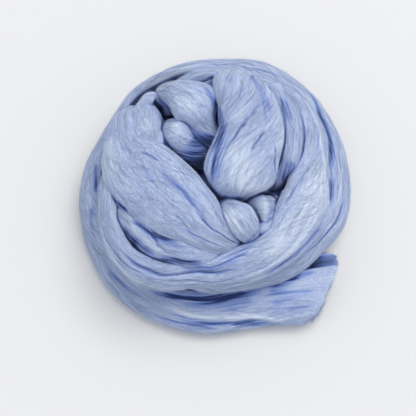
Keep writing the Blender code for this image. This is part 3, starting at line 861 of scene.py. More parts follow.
# %% The bands of the nest
Wrap = namedtuple("Wrap", "turns closed step points_round seed")
WRAPS = {
    "outer_wrap": Wrap(OUTER_WRAP, False, 1.5, 190, 11),
    "upper_wrap": Wrap(UPPER_WRAP, True, 1.2, 140, 23),
    "inner_turn": Wrap(INNER_TURN, True, 2.5, 60, 37),
}
CROWN_STEP = 1.0
POINTS_PER_MM = 4.5  # round a band, for each mm of its width
CROWN_SEEDS = range(50, 1000, 13)
surfaces = {}
for name, wrap in WRAPS.items():
    stations = wrap_stations(wrap.turns, wrap.step, wrap.closed)
    surfaces[name] = band_surface(stations, wrap.points_round, wrap.seed, name)
for (name, sections), seed in zip(CROWN_BANDS.items(), CROWN_SEEDS):
    widest = max(section.width for section in sections)
    stations = crown_stations(sections, CROWN_STEP)
    surfaces[name] = band_surface(stations, int(widest * POINTS_PER_MM), seed, name)
print(sum(surface.points[..., 0].size for surface in surfaces.values()), "points on the nest")

# %% [markdown]
# ## The heart
#
# Under everything that shows lie the first turns of the winding, wound into a ball and pressed flat by the
# later ones. Only a glimpse of them shows, deep between the bands, so three flattened balls stand in for
# them, with the same relief. Modelling the hidden turns one by one would add nothing that can be seen.

# %% The heart of inner turns
LUMP_RINGS = 40
LUMP_ROUND = 120
POLE_FADE = 4  # how fast the relief sets in from the top and the bottom of a ball
START_FADE = 8  # and from the line where the way round starts
LUMP_SEEDS = range(200, 300, 11)


def lump_surface(lump, seed):
    """A flattened ball whose fibres run round it."""
    turn = np.linspace(0, 2 * math.pi, LUMP_ROUND, endpoint=False)
    rise = np.linspace(-math.pi / 2, math.pi / 2, LUMP_RINGS)
    out, up = np.cos(rise), np.sin(rise)
    x = lump.x + lump.half_x * out[:, None] * np.cos(turn)[None, :]
    y = lump.y + lump.half_y * out[:, None] * np.sin(turn)[None, :]
    z = lump.z + lump.half_z * up[:, None] + 0 * x
    points = np.stack([x, y, z], axis=-1)
    along = np.repeat((turn * lump.half_x)[None, :], LUMP_RINGS, axis=0)
    across = np.repeat((rise * lump.half_x)[:, None], LUMP_ROUND, axis=1)
    height, furrow = wool_relief(along, across, seed)
    away = unit(points - np.array([lump.x, lump.y, lump.z]))
    from_pole = np.minimum(1, POLE_FADE * out)
    from_start = np.minimum(1, START_FADE * (1 - np.abs(turn / math.pi - 1)))
    fade = from_pole[:, None] * from_start[None, :]
    points = points + away * (height * fade)[..., None]
    points[..., 2] = np.maximum(points[..., 2], 0)
    return points, along, across, furrow


for (name, lump), seed in zip(LUMPS.items(), LUMP_SEEDS):
    points, along, across, furrow = lump_surface(lump, seed)
    outward = unit(points - np.array([lump.x, lump.y, lump.z]))
    surfaces[name] = Surface(points, outward, along, across, furrow, across[:, 0], 0 * along[:, 0], False)
    print(name, "reaches up to", round(float(points[..., 2].max()), 1), "mm")

# %% [markdown]
# ## The loose end
#
# The last of the band leaves the nest at its left side and lies along its front. Nothing presses on it
# there, so it stays a flattened tube, hollow, with a slit along its inner side where its two edges don't
# quite meet. It is built as one wall: the outside from slit to slit, then the inside back again, rounded
# off where they join. At the right it was pulled apart by hand, so its end is slanted and a little ragged,
# with round corners.

# %% The loose end
LOOSE_STEP = 1.1
LOOSE_ROUND = 130  # points on the outside, and as many on the inside
LOOSE_SEED = 300
LOOSE_FULLNESS = 0.9
WALL_SHARE = 0.3  # of the height
SLIT_FROM = 20.0  # degrees round the tube
SLIT_TO = 55.0
FLATTENED = 0.6  # mm by which the tube is pressed flat where it lies on the table
END_FROM = 0.6  # share of the length after which the slanted end begins to draw the wall on
END_SLANT = 0.58
END_TUFT = 0.6
TUFT_WAVES = (0.9, 0.37)
END_ROUND = 6.0  # mm that the outer corner is cut back, and the inner one
END_ROUND_INNER = 9.5
CORNER_POWER = 6
INNER_LINES = 100  # mm, so that the inside doesn't repeat the streaks of the outside
RELIEF_FROM = 2.0  # mm over the table at which the relief is full
# painted shade inside the tube and along its slit
INSIDE_SHADE = 1.5
INSIDE_GRADE = 25  # mm from the open end inwards over which the painted shade inside deepens
LIP = 2.4  # mm over which the wall thins to a rounded edge, along the slit and at the cut end
LIP_STATIONS = 9  # closer and closer towards the end, to round it
LIP_LEFT = 0.97  # how far down that quarter circle the wall goes


def tube_outline(width, height, turn):
    cos, sin = np.cos(turn), np.sin(turn)
    across = width / 2 * np.sign(cos) * np.abs(cos) ** LOOSE_FULLNESS
    up = height / 2 * np.sign(sin) * np.abs(sin) ** LOOSE_FULLNESS
    return across, up


def edge_left(distance):
    """How much of the wall's thickness is left so far from an edge."""
    return np.sqrt(1 - (LIP_LEFT * np.clip(1 - distance / LIP, 0, 1)) ** 2)


def loose_rows():
    """The stations of the loose end, closer together at its cut end."""
    rows = [(r.x, r.y, 0, r.width, r.height) for r in LOOSE_END]
    rows, along = smooth_through(rows, LOOSE_STEP, closed=False)
    near_end = along[-1] - LIP * np.linspace(1, 0, LIP_STATIONS) ** 2
    at = np.concatenate([along[along < near_end[0]], near_end])
    return np.stack([np.interp(at, along, column) for column in rows.T], axis=1), at


def loose_wall(width, height, to_end, turn):
    """Sideways and up from the table, round the outside of the wall and back on its inside."""
    wall = WALL_SHARE * height
    to_slit = np.minimum(turn - turn[0], turn[-1] - turn)[None, :] * height / 2
    left = edge_left(to_slit) * edge_left(to_end)
    thin, back = wall * (1 - left), wall * (1 + left[:, ::-1])
    outer = tube_outline(width - thin, height - thin, turn[None, :])
    inner = tube_outline(width - back, height - back, turn[None, ::-1])
    across = np.hstack([outer[0], inner[0]])
    up = np.hstack([outer[1], inner[1]])
    return across, np.maximum(up + height / 2 - FLATTENED, 0)


def pulled_end(share, across, width):
    """How far the slanted, ragged end runs on, in mm."""
    tuft = END_TUFT * np.sin(across * TUFT_WAVES[0]) * np.sin(across * TUFT_WAVES[1] + 1)
    rounding = np.where(across > 0, END_ROUND_INNER, END_ROUND) * np.abs(2 * across / width) ** CORNER_POWER
    return share**2 * (END_SLANT * across + tuft - rounding)


def loose_surface(name):
    rows, along = loose_rows()
    run = run_of(rows[:, :3], closed=False)
    inward = np.cross(np.array([0, 0, 1.0]), run)
    turn = np.radians(np.linspace(SLIT_TO, 360 + SLIT_FROM, LOOSE_ROUND))
    width, height = rows[:, 3][:, None], rows[:, 4][:, None]
    to_end = (along[-1] - along)[:, None]
    across, up = loose_wall(width, height, to_end, turn)
    share = np.clip((along / along[-1] - END_FROM) / (1 - END_FROM), 0, None)[:, None]
    forward = pulled_end(share, across, width)
    points = rows[:, None, :3] + across[..., None] * inward[:, None] + forward[..., None] * run[:, None]
    points[..., 2] = up
    outward = -outward_of(points, closed=False)
    mean = tube_outline(rows[:, 3].mean(), rows[:, 4].mean(), turn)
    line = np.concatenate([[0], np.cumsum(np.hypot(np.diff(mean[0]), np.diff(mean[1])))])
    lines = np.concatenate([line, INNER_LINES + line[::-1]])
    along = np.repeat(along[:, None], len(lines), axis=1)
    lines = np.repeat(lines[None, :], len(along), axis=0)
    relief, furrow = wool_relief(along, lines, LOOSE_SEED)
    low = np.clip(points[..., 2] / RELIEF_FROM, 0, 1)
    dip, blue = marks_on(name, points, outward, along, lines)
    points = points + outward * ((relief - dip) * low)[..., None]
    points[..., 2] = np.maximum(points[..., 2], 0)
    outward = -outward_of(points, closed=False)
    # Painted shade of the furrows and the marks, with painted highlight where marks go below nothing; none
    # where the tube meets the table.
    furrow = (furrow + blue) * low
    # Painted shade inside the tube, deeper further from the open end, and half as much along the edge of
    # the slit.
    furrow[:, LOOSE_ROUND - 2 :] += INSIDE_SHADE * (0.5 + np.clip(to_end / INSIDE_GRADE, 0, 1))
    furrow[:, :2] += INSIDE_SHADE / 2
    return Surface(points, outward, along, lines, furrow, lines[0], 0 * along[:, 0], False)


surfaces["loose_band"] = loose_surface("loose_band")
print("the loose end is", round(float(surfaces["loose_band"].along[-1, 0])), "mm long")

# %% [markdown]
# ## How deep each point lies
#
# Light that falls on the crown comes straight back, pale. Light that gets down between the bands meets
# fibre after fibre, and each takes away more red than blue: the deeper the place, the bluer and darker.
# A renderer would need to follow light through millions of fibres for that, so it is measured here and
# painted into the colour as shade. From a point, rays are sent out in all directions of the open side; the
# share that meets wool within a few centimetres says how closed in the point lies. It is measured on every
# few points and blended between.

# %% Closeness
RAYS = 20
REACH = 30.0  # mm
CREVICE = 3.5  # within this reach, wool that is met counts more towards the painted shade, and the more the nearer it is
CREVICE_SHARE = 0.6
LIFT_OFF = 0.4  # mm over the wool at which a ray starts
COARSE = (3, 2)  # every third point along and every second one round is measured
ANY_SIDE = np.array([0.3, 0.2, 0.9])


def spread_directions(count):
    """Directions over the upper half, more of them upwards, as light falls."""
    number = np.arange(count) + 0.5
    out = np.sqrt(number / count)
    turn = number * math.pi * (3 - math.sqrt(5))
    return np.column_stack([out * np.cos(turn), out * np.sin(turn), np.sqrt(1 - out**2)])


def joined_tree(parts):
    points, faces = [], []
    for surface in parts:
        grid = surface.points[::2, ::2]
        rings, around = grid.shape[:2]
        number = len(points) + np.arange(rings * around).reshape(rings, around)
        rows = range(rings if surface.closed else rings - 1)
        for row in rows:
            this, after = number[row], number[(row + 1) % rings]
            faces += list(zip(this, np.roll(this, -1), np.roll(after, -1), after))
        points += grid.reshape(-1, 3).tolist()
    return BVHTree.FromPolygons(points, faces)


def closeness(surface, tree):
    points = surface.points[:: COARSE[0], :: COARSE[1]]
    up = surface.outward[:: COARSE[0], :: COARSE[1]]
    side = unit(np.cross(up, ANY_SIDE))
    front = np.cross(up, side)
    met = np.zeros(points.shape[:2])
    for x, y, z in spread_directions(RAYS):
        rays = x * side + y * front + z * up
        starts = points + LIFT_OFF * up
        for place in np.ndindex(met.shape):
            distance = tree.ray_cast(starts[place], rays[place], REACH)[3]
            if distance is not None:
                met[place] += 1 + CREVICE_SHARE * max(0, 1 - distance / CREVICE)
    met = met / RAYS
    around = (np.roll(met, 1, axis=1) + np.roll(met, -1, axis=1) + 2 * met) / 4
    padded = np.vstack([around[:1], around, around[-1:]])
    met = (padded[:-2] + padded[2:] + 2 * around) / 4
    rows = np.arange(surface.points.shape[0]) / COARSE[0]
    columns = np.arange(surface.points.shape[1]) / COARSE[1]
    fine = np.array([np.interp(rows, np.arange(met.shape[0]), column) for column in met.T]).T
    return np.array([np.interp(columns, np.arange(met.shape[1]), row) for row in fine])


ALL_WOOL = joined_tree(surfaces.values())
for name, surface in surfaces.items():
    closed_in = closeness(surface, ALL_WOOL)
    surfaces[name] = surface._replace(closed_in=closed_in)
    print(name, "is closed in by", round(float(closed_in.mean()), 2), "on average")

# %% [markdown]
# ## From grid to band
#
# Blender's own grid operator makes the sheet of faces. Each of its vertices knows from its place in the
# sheet which station it belongs to and where round the oval it sits, so the sheet is rolled up into the
# band by moving each vertex to its point. The two long edges then meet under the band and are welded, and
# the ends are closed. An extrusion, ring by ring, would give the same faces with a thousand small steps.
# The distance along, the line across and the painted shade are kept on the points, for the finish to read.

# %% Rolling up a band
WELD = 1e-7  # m
FLOW = "flow"
SHADING_ATTRIBUTE = "furrow"
FLOW_OFFSET = 0.37  # m, so that no two pieces share their streaks
CLOSED_FROM = 0.5  # how closed in a place is when its painted shade begins
CLOSED_IN_SHADE = 1.15
HOLE_FROM = 0.75  # from here on a place is a hole rather than a hollow, and its painted shade grows faster
HOLE_SHADE = 4.2
pieces = []


# Painted shade at each point: that of the furrows and the marks, more where the point is closed in, and
# much more in a hole.
def painted_shade_of(surface):
    hollow = CLOSED_IN_SHADE * np.clip(surface.closed_in - CLOSED_FROM, 0, 1)
    return surface.furrow + hollow + HOLE_SHADE * np.clip(surface.closed_in - HOLE_FROM, 0, 1)


def rolled_mesh(name, surface):
    rings, around = surface.points.shape[:2]
    cells = rings if surface.closed else rings - 1
    shape = bmesh.new()
    bmesh.ops.create_grid(shape, x_segments=cells, y_segments=around, size=0.5)
    rows = [round((v.co.x + 0.5) * cells) % rings for v in shape.verts]
    columns = [round((v.co.y + 0.5) * around) % around for v in shape.verts]
    for vertex, row, column in zip(shape.verts, rows, columns):
        vertex.co = surface.points[row, column] * MM
    flow = shape.verts.layers.float_vector.new(FLOW)
    furrow = shape.verts.layers.float.new(SHADING_ATTRIBUTE)
    offset = FLOW_OFFSET * len(pieces)
    depth = painted_shade_of(surface)
    for vertex, row, column in zip(shape.verts, rows, columns):
        vertex[flow] = (surface.along[row, column] * MM, surface.line[row, column] * MM, offset)
        vertex[furrow] = depth[row, column]
    bmesh.ops.remove_doubles(shape, verts=shape.verts, dist=WELD)
    ends = [edge for edge in shape.edges if edge.is_boundary]
    if ends:
        bmesh.ops.holes_fill(shape, edges=ends)
    bmesh.ops.recalc_face_normals(shape, faces=shape.faces)
    mesh = bpy.data.meshes.new(name)
    shape.to_mesh(mesh)
    shape.free()
    mesh.shade_smooth()
    return mesh


def add_piece(name, mesh, node, finish):
    piece = bpy.data.objects.new(name, mesh)
    bpy.context.scene.collection.objects.link(piece)
    mesh.materials.append(finish)
    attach(piece, "root")
    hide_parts(node)
    pieces.append(piece)
    print(f"{name}: {len(mesh.vertices)} points, {len(mesh.polygons)} faces")
    return piece


print("a place deepens from", CLOSED_FROM, "closed in, and faster from", HOLE_FROM)

# %% [markdown]
# ## The finish of the wool
#
# Wool takes dye unevenly, so the band is a mid periwinkle blue with paler and darker streaks along the
# fibres. Light sinks into the furrows and comes out bluer; that is painted shade, read from the points.
# The fibres on top catch the light as a pale sheen, strongest where the surface turns away: the shader's
# sheen gives part of it and a painted sheen the rest, and pale ridges are painted highlight. Bump draws
# the finest fibres, too fine for the mesh. All patterns read the flow along and across the band, so they
# bend with it.

# %% The colours and streaks of the wool
# The first three colours are the wool's own tones, and they also give the painted highlight and the painted
# sheen. The next three are painted shade, from blue to near black; the middle one of them is also the tone
# of the darkest fibres. The last one tints the shader's own sheen.
WOOL_BRIGHT = (0.69, 0.75, 0.84, 1)
WOOL_PALE = (0.54, 0.61, 0.745, 1)
WOOL_MIDDLE = (0.39, 0.465, 0.67, 1)
SHADE_BLUE = (0.22, 0.31, 0.64, 1)
DARK_FIBRES_AND_SHADE = (0.12, 0.20, 0.49, 1)
DEEPEST_SHADE = (0.03, 0.048, 0.16, 1)
SHEEN = (0.86, 0.90, 1.0, 1)

DYE = Streaks(35, 4)
LONG_FIBRES = Streaks(20, 0.28)
SHORT_FIBRES = Streaks(1.4, 0.26)
LONG_FIBRE_PLACES = Streaks(18, 2.5)
SHORT_FIBRE_PLACES = Streaks(12, 3)
HIGHLIGHT_STREAKS = Streaks(24, 0.35)
SHEEN_STREAKS = Streaks(20, 1)
RAISED_FIBRES = Streaks(9, 0.3)
FIBRE_HEIGHT = 0.3 * MM

PALEST = -1.2  # painted shade on the points, below nothing, at which the painted highlight is palest
# painted shade on the points at which the wool is darkest
DARKEST = 1.6
print("the finest fibres that are painted are", min(SHORT_FIBRES), "mm wide")

# %% [markdown]
# A finish is a small graph of nodes. Four kinds do nearly all the work: streaks, which are Blender's noise
# stretched along the flow; the painted shade on the points, scaled to run from 0 to 1; a ramp, which turns
# a number into a colour; and a blend of two colours by a third. Each gets a helper of its own.

# %% Nodes of the finish
def grey(light):
    return (light, light, light, 1)


def add_attribute(tree, name):
    node = tree.nodes.new("ShaderNodeAttribute")
    node.name = node.attribute_name = name


def streaks(tree, size, detail=2):
    stretch = tree.nodes.new("ShaderNodeVectorMath")
    stretch.operation = "MULTIPLY"
    stretch.inputs[1].default_value = (1 / (size.long * MM), 1 / (size.wide * MM), 1)
    tree.links.new(tree.nodes[FLOW].outputs["Vector"], stretch.inputs[0])
    field = tree.nodes.new("ShaderNodeTexNoise")
    field.inputs["Scale"].default_value = 1
    field.inputs["Detail"].default_value = detail
    tree.links.new(stretch.outputs["Vector"], field.inputs["Vector"])
    return field.outputs["Fac"]


def scaled_shading(tree, low, high):
    """The painted shade on the points, so that low reads 0 and high reads 1."""
    node = tree.nodes.new("ShaderNodeMapRange")
    node.inputs["From Min"].default_value = low
    node.inputs["From Max"].default_value = high
    tree.links.new(tree.nodes[SHADING_ATTRIBUTE].outputs["Fac"], node.inputs["Value"])
    return node.outputs["Result"]


def ramp(tree, value, stops):
    node = tree.nodes.new("ShaderNodeValToRGB")
    node.color_ramp.elements[0].position, node.color_ramp.elements[0].color = stops[0]
    node.color_ramp.elements[1].position, node.color_ramp.elements[1].color = stops[-1]
    for position, colour in stops[1:-1]:
        node.color_ramp.elements.new(position).color = colour
    tree.links.new(value, node.inputs["Fac"])
    return node.outputs["Color"]


def blend(tree, share, first, second):
    node = tree.nodes.new("ShaderNodeMix")
    node.data_type = "RGBA"
    tree.links.new(share, node.inputs["Factor"])
    tree.links.new(first, node.inputs["A"])
    tree.links.new(second, node.inputs["B"])
    return node.outputs["Result"]


print("the finish reads", FLOW, "and", SHADING_ATTRIBUTE)

# %% [markdown]
# From the top down: the dye varies broadly, long fibres lie over it in places, and short flecks over both.
# Ridges and the paler marks get a painted highlight. Where the surface turns away, a painted sheen makes a
# pale rim. Last, the painted shade pulls everything towards blue and, in the deepest places, towards the
# colour of night.

# %% The wool
def lit_wool(tree):
    """Colour on top, where the light falls, with the painted highlight."""
    dyed = ramp(tree, streaks(tree, DYE), [(0.36, WOOL_MIDDLE), (0.64, WOOL_PALE)])
    stops = [(0.34, DARK_FIBRES_AND_SHADE), (0.48, WOOL_MIDDLE), (0.6, WOOL_PALE), (0.72, WOOL_BRIGHT)]
    long_fibres = ramp(tree, streaks(tree, LONG_FIBRES), stops)
    stops = [(0.34, DARK_FIBRES_AND_SHADE), (0.5, WOOL_MIDDLE), (0.66, WOOL_BRIGHT)]
    short_fibres = ramp(tree, streaks(tree, SHORT_FIBRES), stops)
    long_here = ramp(tree, streaks(tree, LONG_FIBRE_PLACES, 1), [(0.3, grey(0.25)), (0.7, grey(0.6))])
    short_here = ramp(tree, streaks(tree, SHORT_FIBRE_PLACES, 1), [(0.3, grey(0.2)), (0.7, grey(0.45))])
    streaked = blend(tree, short_here, blend(tree, long_here, dyed, long_fibres), short_fibres)
    # Painted highlight: paler where the painted shade on the points is below nothing, on ridges and the
    # paler marks.
    painted_highlight = ramp(tree, scaled_shading(tree, PALEST, 0), [(0, grey(0.9)), (1, grey(0))])
    highlight_colour = ramp(tree, streaks(tree, HIGHLIGHT_STREAKS), [(0.2, WOOL_PALE), (0.65, WOOL_BRIGHT)])
    return blend(tree, painted_highlight, streaked, highlight_colour)


def wool_with_painted_sheen(tree, lit):
    """The same, with a painted sheen, lighter where the surface turns away from the view."""
    # Painted sheen, by how far the surface turns away from the view.
    turned = tree.nodes.new("ShaderNodeLayerWeight")
    turned.inputs["Blend"].default_value = 0.35
    painted_sheen = ramp(tree, turned.outputs["Facing"], [(0.35, grey(0)), (0.85, grey(0.55))])
    highlight_colour = ramp(tree, streaks(tree, SHEEN_STREAKS), [(0.3, WOOL_PALE), (0.7, WOOL_BRIGHT)])
    return blend(tree, painted_sheen, lit, highlight_colour)


def wool_with_painted_shade(tree, with_sheen):
    """The same, with painted shade: bluer and darker the deeper the place lies."""
    stops = [(0, WOOL_PALE), (0.3, SHADE_BLUE), (0.6, DARK_FIBRES_AND_SHADE), (1, DEEPEST_SHADE)]
    painted_shade_colour = ramp(tree, scaled_shading(tree, 0, DARKEST), stops)
    stops = [(0, grey(0)), (0.35, grey(0.68)), (0.8, grey(1))]
    share = ramp(tree, scaled_shading(tree, 0, DARKEST), stops)
    return blend(tree, share, with_sheen, painted_shade_colour)


def wool_finish(name):
    paint = bpy.data.materials.new(name)
    paint.use_nodes = True
    tree = paint.node_tree
    shader = tree.nodes["Principled BSDF"]
    shader.inputs["Roughness"].default_value = 0.85
    shader.inputs["Specular IOR Level"].default_value = 0.15
    shader.inputs["Sheen Weight"].default_value = 0.35
    shader.inputs["Sheen Roughness"].default_value = 0.45
    shader.inputs["Sheen Tint"].default_value = SHEEN
    add_attribute(tree, FLOW)
    add_attribute(tree, SHADING_ATTRIBUTE)
    colour = wool_with_painted_shade(tree, wool_with_painted_sheen(tree, lit_wool(tree)))
    tree.links.new(colour, shader.inputs["Base Color"])
    bump = tree.nodes.new("ShaderNodeBump")
    bump.inputs["Strength"].default_value = 0.8
    bump.inputs["Distance"].default_value = FIBRE_HEIGHT
    tree.links.new(streaks(tree, RAISED_FIBRES, 3), bump.inputs["Height"])
    tree.links.new(bump.outputs["Normal"], shader.inputs["Normal"])
    return paint


wool = wool_finish("combed_wool")
print(wool.name, "has", len(wool.node_tree.nodes), "nodes")

# %% [markdown]
# ## All bands
#
# Every band and every ball of the heart becomes one piece in place of the solid of the nest. The loose end
# takes the place of its own solid. It is the one piece that lies there as a soft sheet, folded into its
# tube.

# %% The pieces of wool
for name, surface in surfaces.items():
    node = LOOSE_NODE if name == "loose_band" else NEST_NODE
    piece = add_piece(name, rolled_mesh(name, surface), node, wool)

# %% [markdown]
# ## The fibres on top
#
# Combed wool is never quite smooth: fibres rise from the bundles, lie a little askew and dip back in. One
# could use Blender's hair, but hair is not a mesh and is lost when the model is exported. So one straight
# fibre is made, a three-sided rod cut into short lengths, and copies of it are bent along paths on the
# bands. The copies come from the duplicate operator, which copies all the rods that there are, again and
# again, until there are enough: that is quick, and each copy keeps its corners in the rod's own order.

# %% One straight fibre and its copies
FIBRE_LENGTHS = 6


def straight_fibre():
    """The rod, the angle of each of its corners round it and which length each belongs to."""
    shape = bmesh.new()
    bmesh.ops.create_cone(shape, cap_ends=True, segments=3, radius1=1, radius2=1, depth=1)
    for cut in range(1, FIBRE_LENGTHS):
        everything = shape.verts[:] + shape.edges[:] + shape.faces[:]
        height = cut / FIBRE_LENGTHS - 0.5
        bmesh.ops.bisect_plane(shape, geom=everything, plane_co=(0, 0, height), plane_no=(0, 0, 1))
    turns = np.array([math.atan2(v.co.y, v.co.x) for v in shape.verts])
    steps = np.array([round((v.co.z + 0.5) * FIBRE_LENGTHS) for v in shape.verts])
    return shape, turns, steps


ROD, FIBRE_TURNS, FIBRE_STEPS = straight_fibre()


def fibre_copies(count):
    """Copies of the rod, one after the other, made by copying all that there is again and again."""
    shape = ROD.copy()
    made = 1
    while made < count:
        more = min(made, count - made)
        copied = shape.verts[: more * len(ROD.verts)]
        copied += shape.edges[: more * len(ROD.edges)]
        copied += shape.faces[: more * len(ROD.faces)]
        bmesh.ops.duplicate(shape, geom=copied)
        made += more
    return shape


print("a fibre has", len(ROD.verts), "corners and", len(ROD.faces), "faces")

# %% [markdown]
# A path starts at a random point of a band, follows the fibre line with a little wander and is lifted off
# the surface between its two ends. Where another band covers the surface, no fibre is laid, and none where
# the surface faces down. The surface is a grid, so a place between its points is read by blending the four
# around it.

# %% Paths for the fibres
BARE_EDGE = 0.08  # share of the way round, at each edge of a band, where no fibre starts
BEND_SHARE = 0.4
SUNK = 0.12  # mm that both ends of a fibre dip into the wool
CLEAR_FROM = 0.9  # mm over a point, up to CLEAR_TO, in which nothing may cover it
CLEAR_TO = 40.0
LEAST_UP = -0.35  # how far a place may face down, as the height of a direction of length 1
Fibres = namedtuple("Fibres", "reach askew lift radius")


def read_grid(grid, row, column, closed):
    """Values of a grid between its points."""
    rings, around = grid.shape[:2]
    row = row % rings if closed else np.clip(row, 0, rings - 1.001)
    r0, c0 = np.floor(row).astype(int), np.floor(column).astype(int) % around
    fr, fc = (row - np.floor(row))[..., None], (column - np.floor(column))[..., None]
    r1, c1 = (r0 + 1) % rings, (c0 + 1) % around
    low = grid[r0, c0] * (1 - fc) + grid[r0, c1] * fc
    high = grid[r1, c0] * (1 - fc) + grid[r1, c1] * fc
    return low * (1 - fr) + high * fr


def uncovered(points, outward, trees):
    """Which of the points no other piece covers."""
    free = np.ones(len(points), bool)
    for i, (point, away) in enumerate(zip(points, outward)):
        start = Vector((point + away * CLEAR_FROM) * MM)
        for tree in trees:
            if tree.ray_cast(start, Vector(away), CLEAR_TO * MM)[0] is not None:
                free[i] = False
                break
    return free


def fibre_paths(surface, kind, count, trees, rng):
    """Paths, outward directions and flow of fibres on one band."""
    rings, around = surface.points.shape[:2]
    step = surface.along[1, 0] - surface.along[0, 0]
    reach = rng.uniform(*kind.reach, count) / step
    first = rng.uniform(0, 1, count) * (rings if surface.closed else np.maximum(rings - 1 - reach, 1))
    columns = rng.uniform(around * BARE_EDGE, around * (1 - BARE_EDGE), count)
    lines = np.interp(columns, np.arange(around), surface.columns)
    lines = lines + np.interp(first, np.arange(rings), surface.drift)
    share = np.linspace(0, 1, FIBRE_LENGTHS + 1)[None, :]
    rows = first[:, None] + share * reach[:, None]
    slant = rng.normal(0, kind.askew, count)[:, None] * (share - 0.5)
    bend = rng.normal(0, kind.askew * BEND_SHARE, count)[:, None]
    waves = rng.uniform(1, 3, count)[:, None]
    bend = bend * np.sin(share * math.pi * waves)
    drift = np.interp(rows, np.arange(rings), surface.drift)
    columns = np.interp(lines[:, None] - drift + slant + bend, surface.columns, np.arange(around))
    base = read_grid(surface.points, rows, columns, surface.closed)
    away = unit(read_grid(surface.outward, rows, columns, surface.closed))
    rise = rng.uniform(*kind.lift, count)[:, None]
    peak = rng.uniform(0.3, 0.7, count)[:, None]
    arch = np.where(share < peak, share / peak, (1 - share) / (1 - peak))
    lift = rise * np.sin(arch * math.pi / 2) - SUNK
    paths = base + away * lift[..., None]
    middle = FIBRE_LENGTHS // 2
    free = uncovered(base[:, middle], away[:, middle], trees) & (away[:, middle, 2] > LEAST_UP)
    along = rows * step
    depth = read_grid(painted_shade_of(surface)[..., None], rows, columns, surface.closed)[..., 0]
    return paths[free], away[free], along[free], (lines[:, None] + 0 * along)[free], depth[free]


def tree_of(piece):
    mesh = piece.data
    points = [v.co for v in mesh.vertices]
    return BVHTree.FromPolygons(points, [p.vertices for p in mesh.polygons])


TREES = [tree_of(piece) for piece in pieces]
print(len(TREES), "pieces can cover a fibre")

# %% [markdown]
# Now the corners of the copies are moved from the straight rod to their paths, slimmer towards the tips.
# Every fibre carries the flow and the painted shade of the place that it grows from, but streaks of its
# own.
# Two layers lie close, long and thick as a few fibres that cling together; the third is of single stray
# ones.

# %% The fibres
SLIMMEST = 0.25  # at the tips, as a share of the full thickness
OTHER_STREAKS = 60
LAID = Fibres(reach=(8, 24), askew=2.0, lift=(0.12, 0.45), radius=(0.04, 0.08))
STRAY = Fibres(reach=(3, 11), askew=5.0, lift=(0.3, 1.3), radius=(0.015, 0.03))
LAID_LAYERS = 2
LAID_SEED = 5
STRAY_SEED = 25
FIBRES_PER_MM2 = 0.1  # in each layer


def fibre_mesh(name, paths, away, along, lines, depth, radius, rng):
    run = unit(np.gradient(paths, axis=1))
    side = unit(np.cross(run, away))
    up = np.cross(side, run)
    share = np.linspace(0, 1, FIBRE_LENGTHS + 1)
    slim = SLIMMEST + (1 - SLIMMEST) * np.sin(share * math.pi) ** 0.5
    thick = rng.uniform(*radius, len(paths))[:, None] * slim
    spread = thick[:, FIBRE_STEPS]
    points = paths[:, FIBRE_STEPS]
    points = points + (np.cos(FIBRE_TURNS) * spread)[..., None] * side[:, FIBRE_STEPS]
    points = points + (np.sin(FIBRE_TURNS) * spread)[..., None] * up[:, FIBRE_STEPS]
    points[..., 2] = np.maximum(points[..., 2], 0)
    mesh = bpy.data.meshes.new(name)
    shape = fibre_copies(len(paths))
    shape.to_mesh(mesh)
    shape.free()
    mesh.vertices.foreach_set("co", (points * MM).ravel())
    mesh.update()
    corners = len(FIBRE_STEPS)
    other = np.repeat(rng.uniform(0, OTHER_STREAKS, len(paths)), corners).reshape(len(paths), corners)
    flow = np.stack([along[:, FIBRE_STEPS] * MM, lines[:, FIBRE_STEPS] * MM, other], axis=-1)
    mesh.attributes.new(FLOW, "FLOAT_VECTOR", "POINT").data.foreach_set("vector", flow.ravel())
    mesh.attributes.new(SHADING_ATTRIBUTE, "FLOAT", "POINT").data.foreach_set("value", depth[:, FIBRE_STEPS].ravel())
    mesh.shade_smooth()
    return mesh


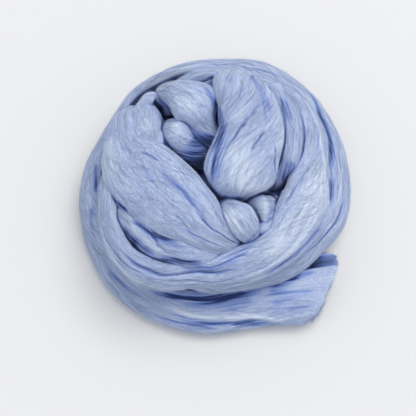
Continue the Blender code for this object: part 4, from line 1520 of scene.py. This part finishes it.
def lay_fibres(name, kind, seed):
    rng = np.random.default_rng(seed)
    parts = []
    for band, surface in surfaces.items():
        if band in LUMPS:
            continue
        patch = np.linalg.norm(np.diff(surface.points, axis=0)[:, :-1], axis=2)
        patch = patch * np.linalg.norm(np.diff(surface.points, axis=1)[:-1], axis=2)
        count = int(patch.sum() * FIBRES_PER_MM2)
        parts.append(fibre_paths(surface, kind, count, TREES, rng))
    paths, away, along, lines, depth = (np.concatenate(column) for column in zip(*parts))
    mesh = fibre_mesh(name, paths, away, along, lines, depth, kind.radius, rng)
    print(name, len(paths), "fibres")
    return add_piece(name, mesh, NEST_NODE, wool)


for layer in range(LAID_LAYERS):
    lay_fibres(f"laid_fibres_{layer + 1}", LAID, seed=LAID_SEED + layer)
lay_fibres("stray_fibres", STRAY, seed=STRAY_SEED)

# %% [markdown]
# Where the band was pulled apart, its fibres end one by one, so the edge is a soft fringe. Each fibre of
# the fringe starts on the wall a little before the end and runs on past it, spreading slightly.

# %% The fringe
FRINGE = Fibres(reach=(0.2, 1.6), askew=0.2, lift=(0, 0), radius=(0.02, 0.04))
FRINGE_FIBRES = 1500
FRINGE_SEED = 61
FRINGE_START = 3.0  # mm before the end
FRINGE_CLEAR = 0.1  # mm over the table


def fringe_paths(surface, kind, count, rng):
    columns = rng.uniform(0, surface.points.shape[1] - 1, count)
    last = len(surface.points) - 1.01
    start = np.interp(surface.along[-1, 0] - FRINGE_START, surface.along[:, 0], range(len(surface.points)))
    base = read_grid(surface.points, np.full(count, start), columns, False)
    edge = read_grid(surface.points, np.full(count, last), columns, False)
    away = unit(read_grid(surface.outward, np.full(count, start), columns, False))
    reach = FRINGE_START + rng.uniform(*kind.reach, count) * rng.uniform(0.4, 1, count)
    spread = rng.normal(0, kind.askew, (count, 3))
    share = np.linspace(0, 1, FIBRE_LENGTHS + 1)[None, :, None]
    run = unit(edge - base)[:, None]
    paths = base[:, None] + share * reach[:, None, None] * (run + share * spread[:, None])
    paths[..., 2] = np.maximum(paths[..., 2], FRINGE_CLEAR)
    along = surface.along[-1, 0] + share[..., 0] * reach[:, None]
    lines = np.interp(columns, np.arange(len(surface.columns)), surface.columns)[:, None] + 0 * along
    return paths, np.repeat(away[:, None], FIBRE_LENGTHS + 1, axis=1), along, lines, 0 * along


def add_fringe(name, surface, kind, count, seed):
    rng = np.random.default_rng(seed)
    mesh = fibre_mesh(name, *fringe_paths(surface, kind, count, rng), kind.radius, rng)
    return add_piece(name, mesh, LOOSE_NODE, wool)


add_fringe("end_fringe", surfaces["loose_band"], FRINGE, FRINGE_FIBRES, FRINGE_SEED)
